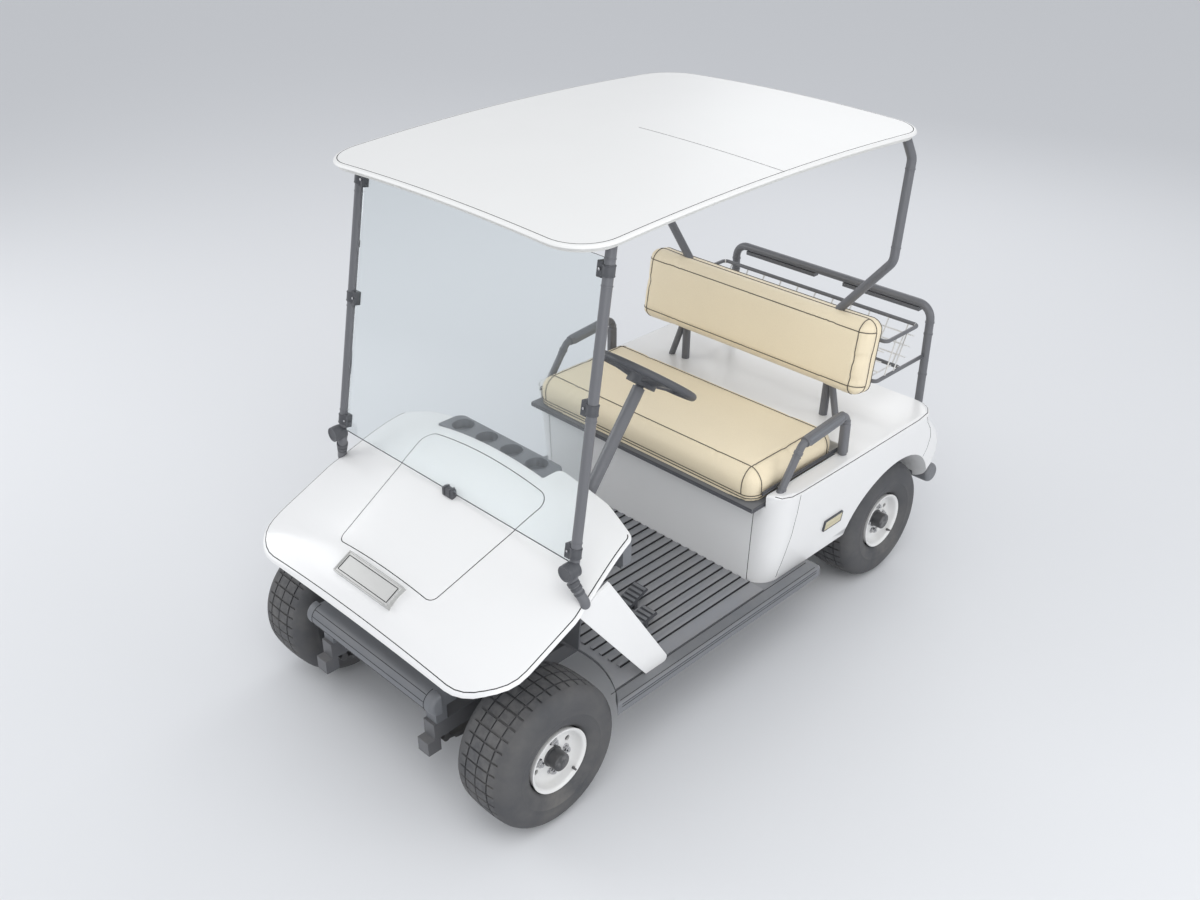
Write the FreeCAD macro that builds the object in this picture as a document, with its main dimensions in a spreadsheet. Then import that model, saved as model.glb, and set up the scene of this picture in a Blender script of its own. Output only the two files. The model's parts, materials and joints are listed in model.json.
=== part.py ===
import FreeCAD, Part
import Sketcher
import math
import os

# Two-seat golf cart.  Millimetres, +X to the cart's left, +Y to the rear, +Z up.
# The origin lies on the ground under the middle of the cart's bounding box.

doc = FreeCAD.newDocument("golf_cart")
V = FreeCAD.Vector

# ---------------------------------------------------------------- driving sizes
# Columns: name in the sheet, millimetres (degrees for angles).
SIZES = [
    # whole cart
    ("wheelbase", 1676.0), ("front_axle_y", -890.0), ("axle_height", 229.0),
    ("front_extent_y", -1146.0), ("rear_extent_y", 1146.0), ("gap", 0.3),
    # wheels
    ("tyre_radius", 229.0), ("tyre_width", 214.0), ("tyre_shoulder", 30.0),
    ("rim_radius", 104.0), ("rim_wall", 6.0), ("hub_bore", 13.0), ("disc_set_back", 45.0),
    ("front_wheel_x", 487.5), ("rear_wheel_x", 429.0),
    # steering
    ("kingpin_x", 362.0), ("kingpin_radius", 11.0), ("steer_clear_radius", 320.0),
    ("arm_reach", 130.0), ("arm_width", 22.0), ("tie_rod_drop", 78.0), ("tie_pin_radius", 7.0),
    ("pitman_x", 190.0), ("pitman_y", 90.0),
    ("column_radius", 19.0), ("column_x", 290.0), ("column_lean", 37.5),
    ("wheel_hub_y", -252.0), ("wheel_hub_z", 1108.0),
    ("steering_rim_radius", 153.0), ("steering_grip_radius", 11.5),
    # chassis
    ("rail_inner_x", 230.0), ("rail_width", 48.0), ("rail_low", 235.0), ("rail_high", 290.0),
    ("rail_rise", 90.0), ("cross_tube", 40.0), ("beam_low", 141.0), ("beam_high", 176.0),
    ("axle_tube_radius", 30.0), ("spring_width", 40.0), ("leaf_thick", 6.0), ("spring_eye_radius", 13.0),
    # floor and rockers
    ("floor_low", 290.5), ("floor_thick", 6.0), ("mat_thick", 5.0),
    ("rib_pitch", 38.0), ("rib_width", 12.0), ("rib_height", 5.0),
    ("rocker_outer_x", 597.0), ("rocker_width", 52.0), ("rocker_low", 262.0), ("rocker_high", 306.0),
    # front cowl, dash and bumpers
    ("cowl_thick", 16.0), ("cowl_sheet_half_x", 600.0), ("tray_top", 852.0), ("cup_radius", 36.0),
    ("bumper_half_x", 297.0), ("bumper_radius", 38.0), ("bumper_height", 380.0),
    ("bumper_centre_y", -1079.0), ("rear_bumper_radius", 37.0), ("rear_bumper_height", 294.0),
    # rear body
    ("shell_wall", 8.0), ("pod_front_y", 68.0), ("body_wide_x", 586.0), ("deck_height", 652.0),
    ("seat_ledge", 606.0), ("arch_radius", 272.0), ("bag_well_front_y", 1045.0), ("bag_well_half_x", 475.0),
    # seat
    ("seat_pan_thick", 15.0), ("seat_half_x", 512.0), ("seat_front_y", 14.0), ("seat_depth", 468.0),
    ("cushion_thick", 106.0), ("lid_hinge_y", 488.0), ("lid_hinge_z", 640.0),
    ("back_half_x", 508.0), ("back_height", 285.0), ("back_thick", 92.0),
    ("back_low_z", 792.0), ("back_low_y", 556.0), ("back_lean", 9.5), ("hip_tube_radius", 13.0),
    # roof, struts and windshield
    ("roof_half_x", 545.0), ("roof_front_y", -750.0), ("roof_rear_y", 745.0), ("roof_thick", 22.0),
    ("roof_edge_front", 1676.0), ("roof_edge_mid", 1705.0), ("roof_edge_rear", 1679.0),
    ("roof_crown", 18.0), ("roof_corner", 130.0),
    ("front_strut_radius", 14.5), ("rear_strut_radius", 15.0), ("brace_radius", 12.0),
    ("glass_thick", 5.0), ("knob_radius", 25.0),
    # bag rack and basket
    ("bag_tube_radius", 15.0), ("bag_post_x", 445.0), ("bag_bar_z", 965.0), ("bag_set_back", 74.0),
    ("basket_half_x", 443.0), ("basket_rim_z", 915.0), ("basket_low_z", 776.0),
    ("basket_wire_radius", 2.5), ("basket_tube_radius", 7.0), ("wire_pitch", 81.0),
]
sheet = doc.addObject("Spreadsheet::Sheet", "Sizes")
for row, (alias, value) in enumerate(SIZES, start=1):
    sheet.set("A%d" % row, alias)
    sheet.set("B%d" % row, repr(value))
    sheet.setAlias("B%d" % row, alias)
probe = doc.addObject("Spreadsheet::Sheet", "Probe")
doc.recompute()

AX = "Sizes.front_axle_y"
REAR_AX = "Sizes.front_axle_y + Sizes.wheelbase"
MAT_LOW = "Sizes.floor_low + Sizes.floor_thick"
MAT_TOP = "Sizes.floor_low + Sizes.floor_thick + Sizes.mat_thick"
ABOUT_X = FreeCAD.Rotation(V(0, 1, 0), 90)
NODES = []


def size(alias):
    """Value of one driving size, read from the sheet."""
    return float(getattr(sheet, alias))


def measure(value):
    """Present value of a size given as a number or as an expression."""
    if not isinstance(value, str):
        return value
    probe.set("A1", "=" + value)
    probe.recompute()
    return float(probe.A1)


def from_axle(distance):
    """Expression for a y counted from the front axle."""
    return "%s + %g" % (AX, distance)


def point(x, from_front_axle, z):
    """Point whose y is counted from the front axle."""
    return V(x, size("front_axle_y") + from_front_axle, z)


def node(obj, label):
    """Names a finished sub-part and puts it on the list that is exported."""
    obj.Label = label
    NODES.append(obj)
    return obj


# ---------------------------------------------------------------- building blocks
def bind(obj, **sizes):
    """Ties each property to an expression (text) or sets it (number)."""
    for prop, value in sizes.items():
        if isinstance(value, str):
            obj.setExpression(prop, value)
        else:
            setattr(obj, prop, value)
    return obj


def place(obj, x=0.0, y=0.0, z=0.0, rotation=None):
    """Puts an object at x, y, z, each a number or an expression."""
    base = V(*[0.0 if isinstance(c, str) else c for c in (x, y, z)])
    obj.Placement = FreeCAD.Placement(base, rotation or FreeCAD.Rotation())
    for axis, value in zip("xyz", (x, y, z)):
        if isinstance(value, str):
            obj.setExpression(".Placement.Base." + axis, value)
    return obj


def box(name, length, width, height, x, y, z, rotation=None):
    obj = doc.addObject("Part::Box", name)
    bind(obj, Length=length, Width=width, Height=height)
    return place(obj, x, y, z, rotation)


def cylinder(name, radius, height, x, y, z, rotation=None):
    obj = doc.addObject("Part::Cylinder", name)
    bind(obj, Radius=radius, Height=height)
    return place(obj, x, y, z, rotation)


def cut(name, base, *tools):
    """Takes each tool away from the base in turn."""
    for index, tool in enumerate(tools):
        obj = doc.addObject("Part::Cut", "%s_cut%d" % (name, index))
        obj.Base = base
        obj.Tool = tool
        base = obj
    return base


def fuse(name, *parts):
    obj = doc.addObject("Part::MultiFuse", name)
    obj.Shapes = list(parts)
    return obj


def group(name, *parts):
    """Several separate solids kept as one sub-part."""
    obj = doc.addObject("Part::Compound", name)
    obj.Links = list(parts)
    return obj


def mirrored(obj):
    """The same piece on the cart's right side."""
    twin = doc.addObject("Part::Mirroring", obj.Name + "_right")
    twin.Source = obj
    twin.Normal = V(1, 0, 0)
    twin.Base = V(0, 0, 0)
    return twin


def both_sides(name, obj):
    return group(name, obj, mirrored(obj))


def with_mirror(shape):
    """A shape and its image on the cart's right side, as two solids."""
    return Part.makeCompound([shape, shape.mirror(V(0, 0, 0), V(1, 0, 0))])


def fillet(name, base, radius, picked):
    """Rounds the edges of a base that the test picks."""
    doc.recompute()
    obj = doc.addObject("Part::Fillet", name)
    obj.Base = base
    edges = base.Shape.Edges
    obj.Edges = [(i, radius, radius) for i, edge in enumerate(edges, start=1) if picked(edge)]
    return obj


def along(axis):
    """Test for straight edges that run along x, y or z."""
    wanted = {"x": V(1, 0, 0), "y": V(0, 1, 0), "z": V(0, 0, 1)}[axis]

    def test(edge):
        return isinstance(edge.Curve, Part.Line) and abs(edge.Curve.Direction.dot(wanted)) > 0.999
    return test


def draw_outline(sketch, corners):
    """Closed outline of straight sides whose corners are dimensioned from the origin."""
    points = [V(measure(a), measure(b), 0) for a, b in corners]
    count = len(points)
    for index in range(count):
        sketch.addGeometry(Part.LineSegment(points[index], points[(index + 1) % count]), False)
    for index in range(count):
        sketch.addConstraint(Sketcher.Constraint("Coincident", index, 2, (index + 1) % count, 1))
    for index, corner in enumerate(corners):
        for kind, value in zip(("DistanceX", "DistanceY"), corner):
            number = sketch.addConstraint(Sketcher.Constraint(kind, -1, 1, index, 1, measure(value)))
            if isinstance(value, str):
                sketch.setExpression("Constraints[%d]" % number, value)


def sketched_body(name, plane, corners):
    """New body with one closed outline on an origin plane."""
    body = doc.addObject("PartDesign::Body", name)
    sketch = body.newObject("Sketcher::SketchObject", name + "_sketch")
    for origin_plane in body.Origin.OriginFeatures:
        if origin_plane.Role == plane:
            sketch.AttachmentSupport = [(origin_plane, "")]
    sketch.MapMode = "FlatFace"
    draw_outline(sketch, corners)
    doc.recompute()
    return body, sketch


def side_profile(name, corners, width, offset=0.0, symmetric=False):
    """Body with an outline in y and z, padded along x from the offset."""
    body, sketch = sketched_body(name, "YZ_Plane", corners)
    if isinstance(offset, str):
        sketch.setExpression(".AttachmentOffset.Base.z", offset)
    else:
        sketch.AttachmentOffset = FreeCAD.Placement(V(0, 0, offset), FreeCAD.Rotation())
    pad = body.newObject("PartDesign::Pad", name + "_pad")
    pad.Profile = sketch
    bind(pad, Length=width)
    pad.Midplane = symmetric
    body.Tip = pad
    return body


def spun(name, corners, x, y):
    """Body turned about an axle: corners are (distance along the axle, radius)."""
    body, sketch = sketched_body(name, "XZ_Plane", corners)
    turned = body.newObject("PartDesign::Revolution", name + "_turned")
    turned.Profile = sketch
    turned.ReferenceAxis = (sketch, ["H_Axis"])
    turned.Angle = 360
    body.Tip = turned
    return place(body, x, y, "Sizes.axle_height")


def feature(name, shape):
    """A sub-part whose curved shape is worked out here from the sheet's sizes."""
    obj = doc.addObject("Part::Feature", name)
    obj.Shape = shape
    return obj


def polyline_wire(points, bend):
    """Wire of straight runs joined by tangent arcs of one bend radius."""
    edges, start = [], points[0]
    for before, corner, after in zip(points, points[1:], points[2:]):
        back = (before - corner).normalize()
        ahead = (after - corner).normalize()
        half = back.getAngle(ahead) / 2
        reach = bend / math.tan(half)
        first, last = corner + back * reach, corner + ahead * reach
        centre = corner + (back + ahead).normalize() * (bend / math.sin(half))
        middle = centre + (corner - centre).normalize() * bend
        edges.append(Part.LineSegment(start, first).toShape())
        edges.append(Part.Arc(first, middle, last).toShape())
        start = last
    edges.append(Part.LineSegment(start, points[-1]).toShape())
    return Part.Wire(edges)


def tube_shape(points, radius, bend=30.0):
    """Round bar along a bent route."""
    path = polyline_wire(points, bend)
    section = Part.Wire([Part.makeCircle(radius, points[0], points[1] - points[0])])
    return path.makePipeShell([section], True, False)


def rounded_outline(corners):
    """Flat face from (x, y, radius) corners."""
    count, edges, ends = len(corners), [], []
    for index, (x, y, radius) in enumerate(corners):
        here = V(x, y, 0)
        back = (V(*corners[index - 1][:2], 0) - here).normalize()
        ahead = (V(*corners[(index + 1) % count][:2], 0) - here).normalize()
        half = back.getAngle(ahead) / 2
        reach = radius / math.tan(half)
        centre = here + (back + ahead).normalize() * (radius / math.sin(half))
        middle = centre + (here - centre).normalize() * radius
        ends.append((here + back * reach, middle, here + ahead * reach))
    for index, (first, middle, last) in enumerate(ends):
        edges.append(Part.Arc(first, middle, last).toShape())
        edges.append(Part.LineSegment(last, ends[(index + 1) % count][0]).toShape())
    return Part.Face(Part.Wire(edges))


def crowned_section(y, top_z, drop, half_width, thick):
    """Cross-section of a crowned sheet: arc above, arc below, closed at its edges."""
    outer = [V(-half_width, y, top_z - drop), V(0, y, top_z), V(half_width, y, top_z - drop)]
    inner = [p - V(0, 0, thick) for p in outer]
    edges = [Part.Arc(*outer).toShape(), Part.LineSegment(outer[2], inner[2]).toShape(),
             Part.Arc(*reversed(inner)).toShape(), Part.LineSegment(inner[0], outer[0]).toShape()]
    return Part.Wire(edges)


def biggest(shape):
    """The largest solid of a shape, when a cut leaves an offcut."""
    return max(shape.Solids, key=lambda solid: solid.Volume)


# ---------------------------------------------------------------- chassis frame
# Two box rails that rise over the rear axle, cross tubes and spring hangers, all welded up.
rail_front, rise_start, rise_end, rail_rear = -200, 1240, 1420, 1955
rail = side_profile("rail", [
    (from_axle(rail_front), "Sizes.rail_low"), (from_axle(rise_start), "Sizes.rail_low"),
    (from_axle(rise_end), "Sizes.rail_low + Sizes.rail_rise"),
    (from_axle(rail_rear), "Sizes.rail_low + Sizes.rail_rise"),
    (from_axle(rail_rear), "Sizes.rail_high + Sizes.rail_rise"),
    (from_axle(rise_end - 20), "Sizes.rail_high + Sizes.rail_rise"),
    (from_axle(rise_start - 20), "Sizes.rail_high"), (from_axle(rail_front), "Sizes.rail_high")],
    "Sizes.rail_width", "Sizes.rail_inner_x")
nose_block = box("nose_block", "Sizes.rail_width", 46, 47, "Sizes.rail_inner_x",
                 from_axle(rail_front - 26), "Sizes.rail_low - 45")

# Spring hangers, columns: y from the front axle, eye height, height where the hanger ends.
front_eye, rear_eye = 215.0, 273.0
front_reach, rear_reach = 155.0, 270.0
HANGERS = [(-front_reach, front_eye, 240), (front_reach, front_eye, 240),
           (size("wheelbase") - rear_reach, rear_eye, 330), (size("wheelbase") + rear_reach - 1, rear_eye, 330)]
hangers = [box("hanger_%d" % i, "Sizes.spring_width", 18, top - eye - size("spring_eye_radius") - 0.3,
               "Sizes.rail_inner_x + 4", from_axle(y - 9), eye + size("spring_eye_radius") + 0.3)
           for i, (y, eye, top) in enumerate(HANGERS)]

# Cross tubes, columns: y from the front axle, height of the rail's top there.
CROSS_TUBES = [(-100, "Sizes.rail_high"), (330, "Sizes.rail_high"), (900, "Sizes.rail_high"),
               (1905, "Sizes.rail_high + Sizes.rail_rise")]
cross_tubes = [box("cross_tube_%d" % i, "2 * Sizes.rail_inner_x + 4", "Sizes.cross_tube", "Sizes.cross_tube",
                   "-Sizes.rail_inner_x - 2", from_axle(y), top + " - Sizes.cross_tube - 5")
               for i, (y, top) in enumerate(CROSS_TUBES)]
side_frame = fuse("side_frame", rail, nose_block, *hangers)
node(fuse("frame", side_frame, mirrored(side_frame), *cross_tubes), "frame_rails")

# ---------------------------------------------------------------- front axle and steering
# A beam under the rails that turns up at each end into a forked yoke for the kingpin.
beam_end, yoke_half = 330, 48
beam = box("beam", 2 * beam_end, 44, "Sizes.beam_high - Sizes.beam_low", -beam_end, from_axle(-22),
           "Sizes.beam_low")
riser = box("riser", 34, 44, "Sizes.axle_height + %g - Sizes.beam_low" % yoke_half, beam_end - 34,
            from_axle(-22), "Sizes.beam_low")
yoke = box("yoke", "Sizes.kingpin_x + 10 - %g" % (beam_end - 4), 44, 2 * yoke_half, beam_end - 4,
           from_axle(-22), "Sizes.axle_height - %g" % yoke_half)
yoke_gap = box("yoke_gap", 60, 60, 60, "Sizes.kingpin_x - 24", from_axle(-30), "Sizes.axle_height - 30")
yoke_bore = cylinder("yoke_bore", "Sizes.kingpin_radius", 120, "Sizes.kingpin_x", AX, "Sizes.axle_height - 60")
fork = cut("fork", fuse("riser_and_yoke", riser, yoke), yoke_gap, yoke_bore)
node(fuse("front_axle", beam, fork, mirrored(fork)), "front_axle_beam")

ARM_Z = "Sizes.axle_height - 64"
ROD_Z = "Sizes.axle_height - Sizes.tie_rod_drop"


def flat_link(name, x, y_start, z, width, thick):
    """Level bar with rounded ends that runs back from its first eye by the arm's reach."""
    blade = box(name + "_blade", width, "Sizes.arm_reach", thick, "%s - (%s) / 2" % (x, width), y_start, z)
    eyes = [cylinder("%s_eye_%d" % (name, i), "(%s) / 2" % width, thick, x, y, z)
            for i, y in enumerate((y_start, y_start + " + Sizes.arm_reach"))]
    return fuse(name, blade, *eyes)


# Knuckle: kingpin, barrel, stub axle, and a steering arm with the pin for the tie rod.
arm_thick = 9
knuckle = fuse(
    "knuckle",
    cylinder("kingpin", "Sizes.kingpin_radius - 0.05", 110, "Sizes.kingpin_x", AX, "Sizes.axle_height - 56"),
    cylinder("knuckle_barrel", 20, 59, "Sizes.kingpin_x", AX, "Sizes.axle_height - 29.5"),
    cylinder("stub_axle", "Sizes.hub_bore - 0.5", "Sizes.front_wheel_x - Sizes.kingpin_x + 80",
             "Sizes.kingpin_x", AX, "Sizes.axle_height", ABOUT_X),
    cylinder("kingpin_head", 17, 15.8, "Sizes.kingpin_x", AX, ARM_Z),
    flat_link("steering_arm", "Sizes.kingpin_x", AX, ARM_Z, "Sizes.arm_width", arm_thick),
    cylinder("arm_pin", "Sizes.tie_pin_radius", 24, "Sizes.kingpin_x", AX + " + Sizes.arm_reach",
             "Sizes.axle_height - 83"))
node(knuckle, "knuckle_left")
node(mirrored(knuckle), "knuckle_right")

# Tie rod: an eye round each arm's pin, and a lug that takes the pitman arm's pin.
eye_radius, eye_thick, lug_thick = 13, 14, 12
rod_end = "(Sizes.kingpin_x - 8)"
tie_bar = cylinder("tie_bar", 8, "2 * " + rod_end, "-" + rod_end, AX + " + Sizes.arm_reach", ROD_Z, ABOUT_X)
tie_eyes = [cylinder("tie_eye", eye_radius, eye_thick, sign + "Sizes.kingpin_x", AX + " + Sizes.arm_reach",
                     "%s - %g" % (ROD_Z, eye_thick / 2)) for sign in ("", "-")]
lug_reach = "Sizes.pitman_y"
lug = box("tie_lug", "Sizes.arm_width", lug_reach, lug_thick, "Sizes.pitman_x - Sizes.arm_width / 2",
          AX + " + Sizes.arm_reach", "%s - %g" % (ROD_Z, lug_thick / 2))
lug_eye = cylinder("tie_lug_eye", "Sizes.arm_width / 2", lug_thick, "Sizes.pitman_x",
                   AX + " + Sizes.arm_reach + " + lug_reach, "%s - %g" % (ROD_Z, lug_thick / 2))
PIN_PLACES = [("Sizes.kingpin_x", ""), ("-Sizes.kingpin_x", ""), ("Sizes.pitman_x", " + " + lug_reach)]
pin_bores = [cylinder("pin_bore", "Sizes.tie_pin_radius + 0.4", 30, x, AX + " + Sizes.arm_reach" + further,
                      ROD_Z + " - 15") for x, further in PIN_PLACES]
node(cut("tie_rod", fuse("tie_rod_solid", tie_bar, lug, lug_eye, *tie_eyes), *pin_bores), "tie_rod")

pitman_arm_z = ROD_Z + " + 11"
pitman = fuse(
    "pitman",
    flat_link("pitman_link", "Sizes.pitman_x", AX + " + Sizes.pitman_y", pitman_arm_z, "Sizes.arm_width", 10),
    cylinder("pitman_pin", "Sizes.tie_pin_radius", 30, "Sizes.pitman_x",
             AX + " + Sizes.pitman_y + Sizes.arm_reach", ROD_Z + " - 12"),
    cylinder("sector_shaft", 11, "Sizes.rail_high + 20 - (%s)" % pitman_arm_z, "Sizes.pitman_x",
             AX + " + Sizes.pitman_y", pitman_arm_z))
node(pitman, "pitman_arm")

# Column with the steering gear at its foot, standing on the left rail.
gear_case = box("gear_case", 157, 62, 60, "Sizes.rail_inner_x - 75", from_axle(48),
                "Sizes.rail_high + Sizes.gap")
gear_bore = cylinder("gear_bore", 11.3, 40, "Sizes.pitman_x", AX + " + Sizes.pitman_y", "Sizes.rail_high - 15")
lean = math.radians(size("column_lean"))
column_axis = V(0, math.sin(lean), math.cos(lean))
column_turn = FreeCAD.Rotation(V(0, 0, 1), column_axis)
hub = V(size("column_x"), size("wheel_hub_y"), size("wheel_hub_z"))
column_top = hub - column_axis * 40
gear_top = size("rail_high") + size("gap") + 59
column_length = (column_top.z - gear_top) / column_axis.z
column_foot = column_top - column_axis * column_length
column_tube = cylinder("column_tube", "Sizes.column_radius", column_length, *column_foot, column_turn)
shaft_bore = cylinder("shaft_bore", 13.5, 60, *(column_top - column_axis * 50), column_turn)
below_gear = box("below_gear", 80, 120, 40, column_foot.x - 40, column_foot.y - 60, gear_top - 41)
node(cut("column", fuse("column_and_gear", cut("tube_end", column_tube, below_gear), gear_case),
         shaft_bore, gear_bore), "steering_column")

# Steering wheel: grip ring, three dished spokes, hub, and the shaft inside the column.
grip = doc.addObject("Part::Torus", "grip")
bind(grip, Radius1="Sizes.steering_rim_radius", Radius2="Sizes.steering_grip_radius")
hub_radius, spoke_start, spoke_drop = 46, 34, 18
spoke_length = size("steering_rim_radius") - spoke_start
spoke_tilt = FreeCAD.Rotation(V(0, 1, 0), -math.degrees(math.atan2(spoke_drop, spoke_length)))
spokes = []
for turn in (90, 210, 330):
    about_hub = FreeCAD.Rotation(V(0, 0, 1), turn)
    spokes.append(box("spoke", spoke_length, 40, 7, *about_hub.multVec(V(spoke_start, -20, -24)),
                      about_hub.multiply(spoke_tilt)))
steering_wheel = fuse("wheel_fuse", grip, cylinder("hub_disc", hub_radius, 26, 0, 0, -34),
                      cylinder("wheel_shaft", 13, 46, 0, 0, -76), *spokes)
place(steering_wheel, "Sizes.column_x", "Sizes.wheel_hub_y", "Sizes.wheel_hub_z", column_turn)
node(steering_wheel, "steering_wheel")


# ---------------------------------------------------------------- wheels
def tyre_section():
    """Half-outline and its mirror: bead, sidewall, shoulder, tread."""
    half, shoulder = "Sizes.tyre_width / 2", "Sizes.tyre_shoulder"
    outer, seat = "Sizes.tyre_radius", "Sizes.rim_radius + Sizes.gap"
    right = [(half + " - 22", seat), (half, seat + " + 30"), (half, outer + " - " + shoulder),
             ("%s - %s * 0.3" % (half, shoulder), "%s - %s * 0.3" % (outer, shoulder)),
             ("%s - %s" % (half, shoulder), outer)]
    return right + [("-(%s)" % a, b) for a, b in reversed(right)]


def rim_section(side):
    """Barrel, disc and hub; the disc lies towards the outer side, where the hub's bore is closed."""
    half, bead = "Sizes.tyre_width / 2", "Sizes.rim_radius"
    inner = bead + " - 8 - Sizes.rim_wall"
    disc = half + " - Sizes.disc_set_back"
    section = [("-(%s) + 12" % half, bead), (half + " - 12", bead), (half + " - 12", inner), (disc, inner),
               (disc, 42), (half + " - 20", 42), (half + " - 20", 24), (half, 24), (half, 0),
               (half + " - 14", 0), (half + " - 14", "Sizes.hub_bore"), (half + " - 90", "Sizes.hub_bore"),
               (half + " - 90", 30), (disc + " - 6", 30), (disc + " - 6", inner), ("-(%s) + 12" % half, inner)]
    return section if side > 0 else [("-(%s)" % a, b) for a, b in section]


# Columns: name, x of the wheel's middle, y of its axle, side.
WHEELS = [("front_left", "Sizes.front_wheel_x", AX, 1), ("front_right", "-Sizes.front_wheel_x", AX, -1),
          ("rear_left", "Sizes.rear_wheel_x", REAR_AX, 1), ("rear_right", "-Sizes.rear_wheel_x", REAR_AX, -1)]
for name, x, y, side in WHEELS:
    node(spun("tyre_" + name, tyre_section(), x, y), "tyre_" + name)
    node(spun("wheel_" + name, rim_section(side), x, y), "wheel_" + name)

# ---------------------------------------------------------------- rear axle and springs
tube_end, motor_radius = 300, 86
axle_tube = cylinder("axle_tube", "Sizes.axle_tube_radius", 2 * tube_end, -tube_end, REAR_AX,
                     "Sizes.axle_height", ABOUT_X)
shafts = cylinder("half_shafts", "Sizes.hub_bore - 0.5", "2 * Sizes.rear_wheel_x + 150",
                  "-Sizes.rear_wheel_x - 75", REAR_AX, "Sizes.axle_height", ABOUT_X)
gear_housing = cylinder("gear_housing", 82, 96, -88, REAR_AX, "Sizes.axle_height", ABOUT_X)
motor = cylinder("motor", motor_radius, 150, 30, REAR_AX + " - 130", "Sizes.axle_height + 5", ABOUT_X)
motor_neck = box("motor_neck", 70, 150, 60, -10, REAR_AX + " - 130", "Sizes.axle_height - 30")
node(fuse("rear_axle_fuse", axle_tube, shafts, fillet("housing_round", gear_housing, 24, lambda edge: True),
          motor, motor_neck), "rear_axle")


def leaf_spring(middle_y, middle_z, eye_z, reach, leaves):
    """Bowed stack of leaves on one centre of curvature, longest on top, with an eye at each end."""
    thick, width, shorter = size("leaf_thick"), size("spring_width"), 0.22
    rise = eye_z - middle_z
    curve = (reach ** 2 + rise ** 2) / (2 * rise)

    def arc_points(radius, angle):
        return [point(0, middle_y + radius * math.sin(a), middle_z + curve - radius * math.cos(a))
                for a in (-angle, 0, angle)]
    stack = []
    for index in range(leaves):
        angle = math.asin(reach / curve) * (1 - shorter * index)
        upper = arc_points(curve + index * thick, angle)
        lower = arc_points(curve + (index + 1) * thick, angle)
        edges = [Part.Arc(*upper).toShape(), Part.LineSegment(upper[2], lower[2]).toShape(),
                 Part.Arc(*reversed(lower)).toShape(), Part.LineSegment(lower[0], upper[0]).toShape()]
        stack.append(Part.Face(Part.Wire(edges)).extrude(V(width, 0, 0)))
    eyes = [point(0, middle_y + s * reach, eye_z) for s in (-1, 1)]
    stack += [Part.makeCylinder(size("spring_eye_radius"), width, eye, V(1, 0, 0)) for eye in eyes]
    spring = stack[0].fuse(stack[1:]).removeSplitter()
    spring.translate(V(size("rail_inner_x") + 4, 0, 0))
    return with_mirror(spring)


front_leaves, rear_leaves = 3, 4
front_spring = leaf_spring(0, size("beam_high") + front_leaves * size("leaf_thick") + size("gap"), front_eye,
                           front_reach, front_leaves)
rear_spring = leaf_spring(size("wheelbase"), size("axle_height") - size("axle_tube_radius") - size("gap"),
                          rear_eye, rear_reach, rear_leaves)
node(feature("springs", Part.makeCompound([front_spring, rear_spring])), "leaf_springs")

node(box("batteries", 440, 390, 250, -220, "Sizes.pod_front_y + Sizes.shell_wall + 8", MAT_LOW + " + 0.3"),
     "battery_pack")

# ---------------------------------------------------------------- floor, rockers and front wall
wheel_rooms = [cylinder("wheel_room_%d" % i, "Sizes.steer_clear_radius", 600, x, AX, 200)
               for i, x in enumerate(("Sizes.kingpin_x", "-Sizes.kingpin_x"))]
floor_front, mat_front, rib_front = 190, 230, 345
mat_end = "Sizes.pod_front_y - Sizes.gap"
pan = box("pan", "2 * (Sizes.rocker_outer_x - Sizes.rocker_width)", 1010, "Sizes.floor_thick",
          "Sizes.rocker_width - Sizes.rocker_outer_x", from_axle(floor_front), "Sizes.floor_low")
node(cut("floor", pan, *wheel_rooms), "floor_pan")

mat_half = size("rocker_outer_x") - size("rocker_width") - 4
mat_bed = box("mat_bed", "2 * (Sizes.rocker_outer_x - Sizes.rocker_width - 4)",
              "%s - (%s)" % (mat_end, from_axle(mat_front)), "Sizes.mat_thick",
              "4 + Sizes.rocker_width - Sizes.rocker_outer_x", from_axle(mat_front), MAT_LOW)
rib_count = int(2 * (mat_half - 30) // size("rib_pitch"))
ribs = [box("rib_%d" % i, "Sizes.rib_width", "%s - 2 - (%s)" % (mat_end, from_axle(rib_front)),
            "Sizes.rib_height + 0.01",
            "Sizes.rib_pitch * %g - Sizes.rib_width / 2" % (i - (rib_count - 1) / 2), from_axle(rib_front),
            MAT_TOP + " - 0.01") for i in range(rib_count)]
node(fuse("mat", cut("mat_sheet", mat_bed, *wheel_rooms), *ribs), "floor_mat")

rocker_box = box("rocker_box", "Sizes.rocker_width - Sizes.gap", 1000, "Sizes.rocker_high - Sizes.rocker_low",
                 "Sizes.rocker_outer_x - Sizes.rocker_width + Sizes.gap", from_axle(floor_front),
                 "Sizes.rocker_low")
rocker = cut("rocker", fillet("rocker_round", rocker_box, 8, along("y")), wheel_rooms[0])
node(both_sides("rockers", rocker), "rocker_panels")

# Columns: distance from the front axle, height of the cowl's middle, drop at the sheet's edge.
COWL_STATIONS = [(-262, 545, 8), (-235, 585, 45), (-195, 640, 85), (-120, 674, 93), (110, 789, 110),
                 (273, 869, 131), (400, 876, 105)]


def cowl_sheet(thick, lift=0.0):
    """The cowl's crowned sheet before it is trimmed."""
    wires = [crowned_section(size("front_axle_y") + y, z + lift, drop, size("cowl_sheet_half_x"), thick)
             for y, z, drop in COWL_STATIONS]
    return Part.makeLoft(wires, True, True)


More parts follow.
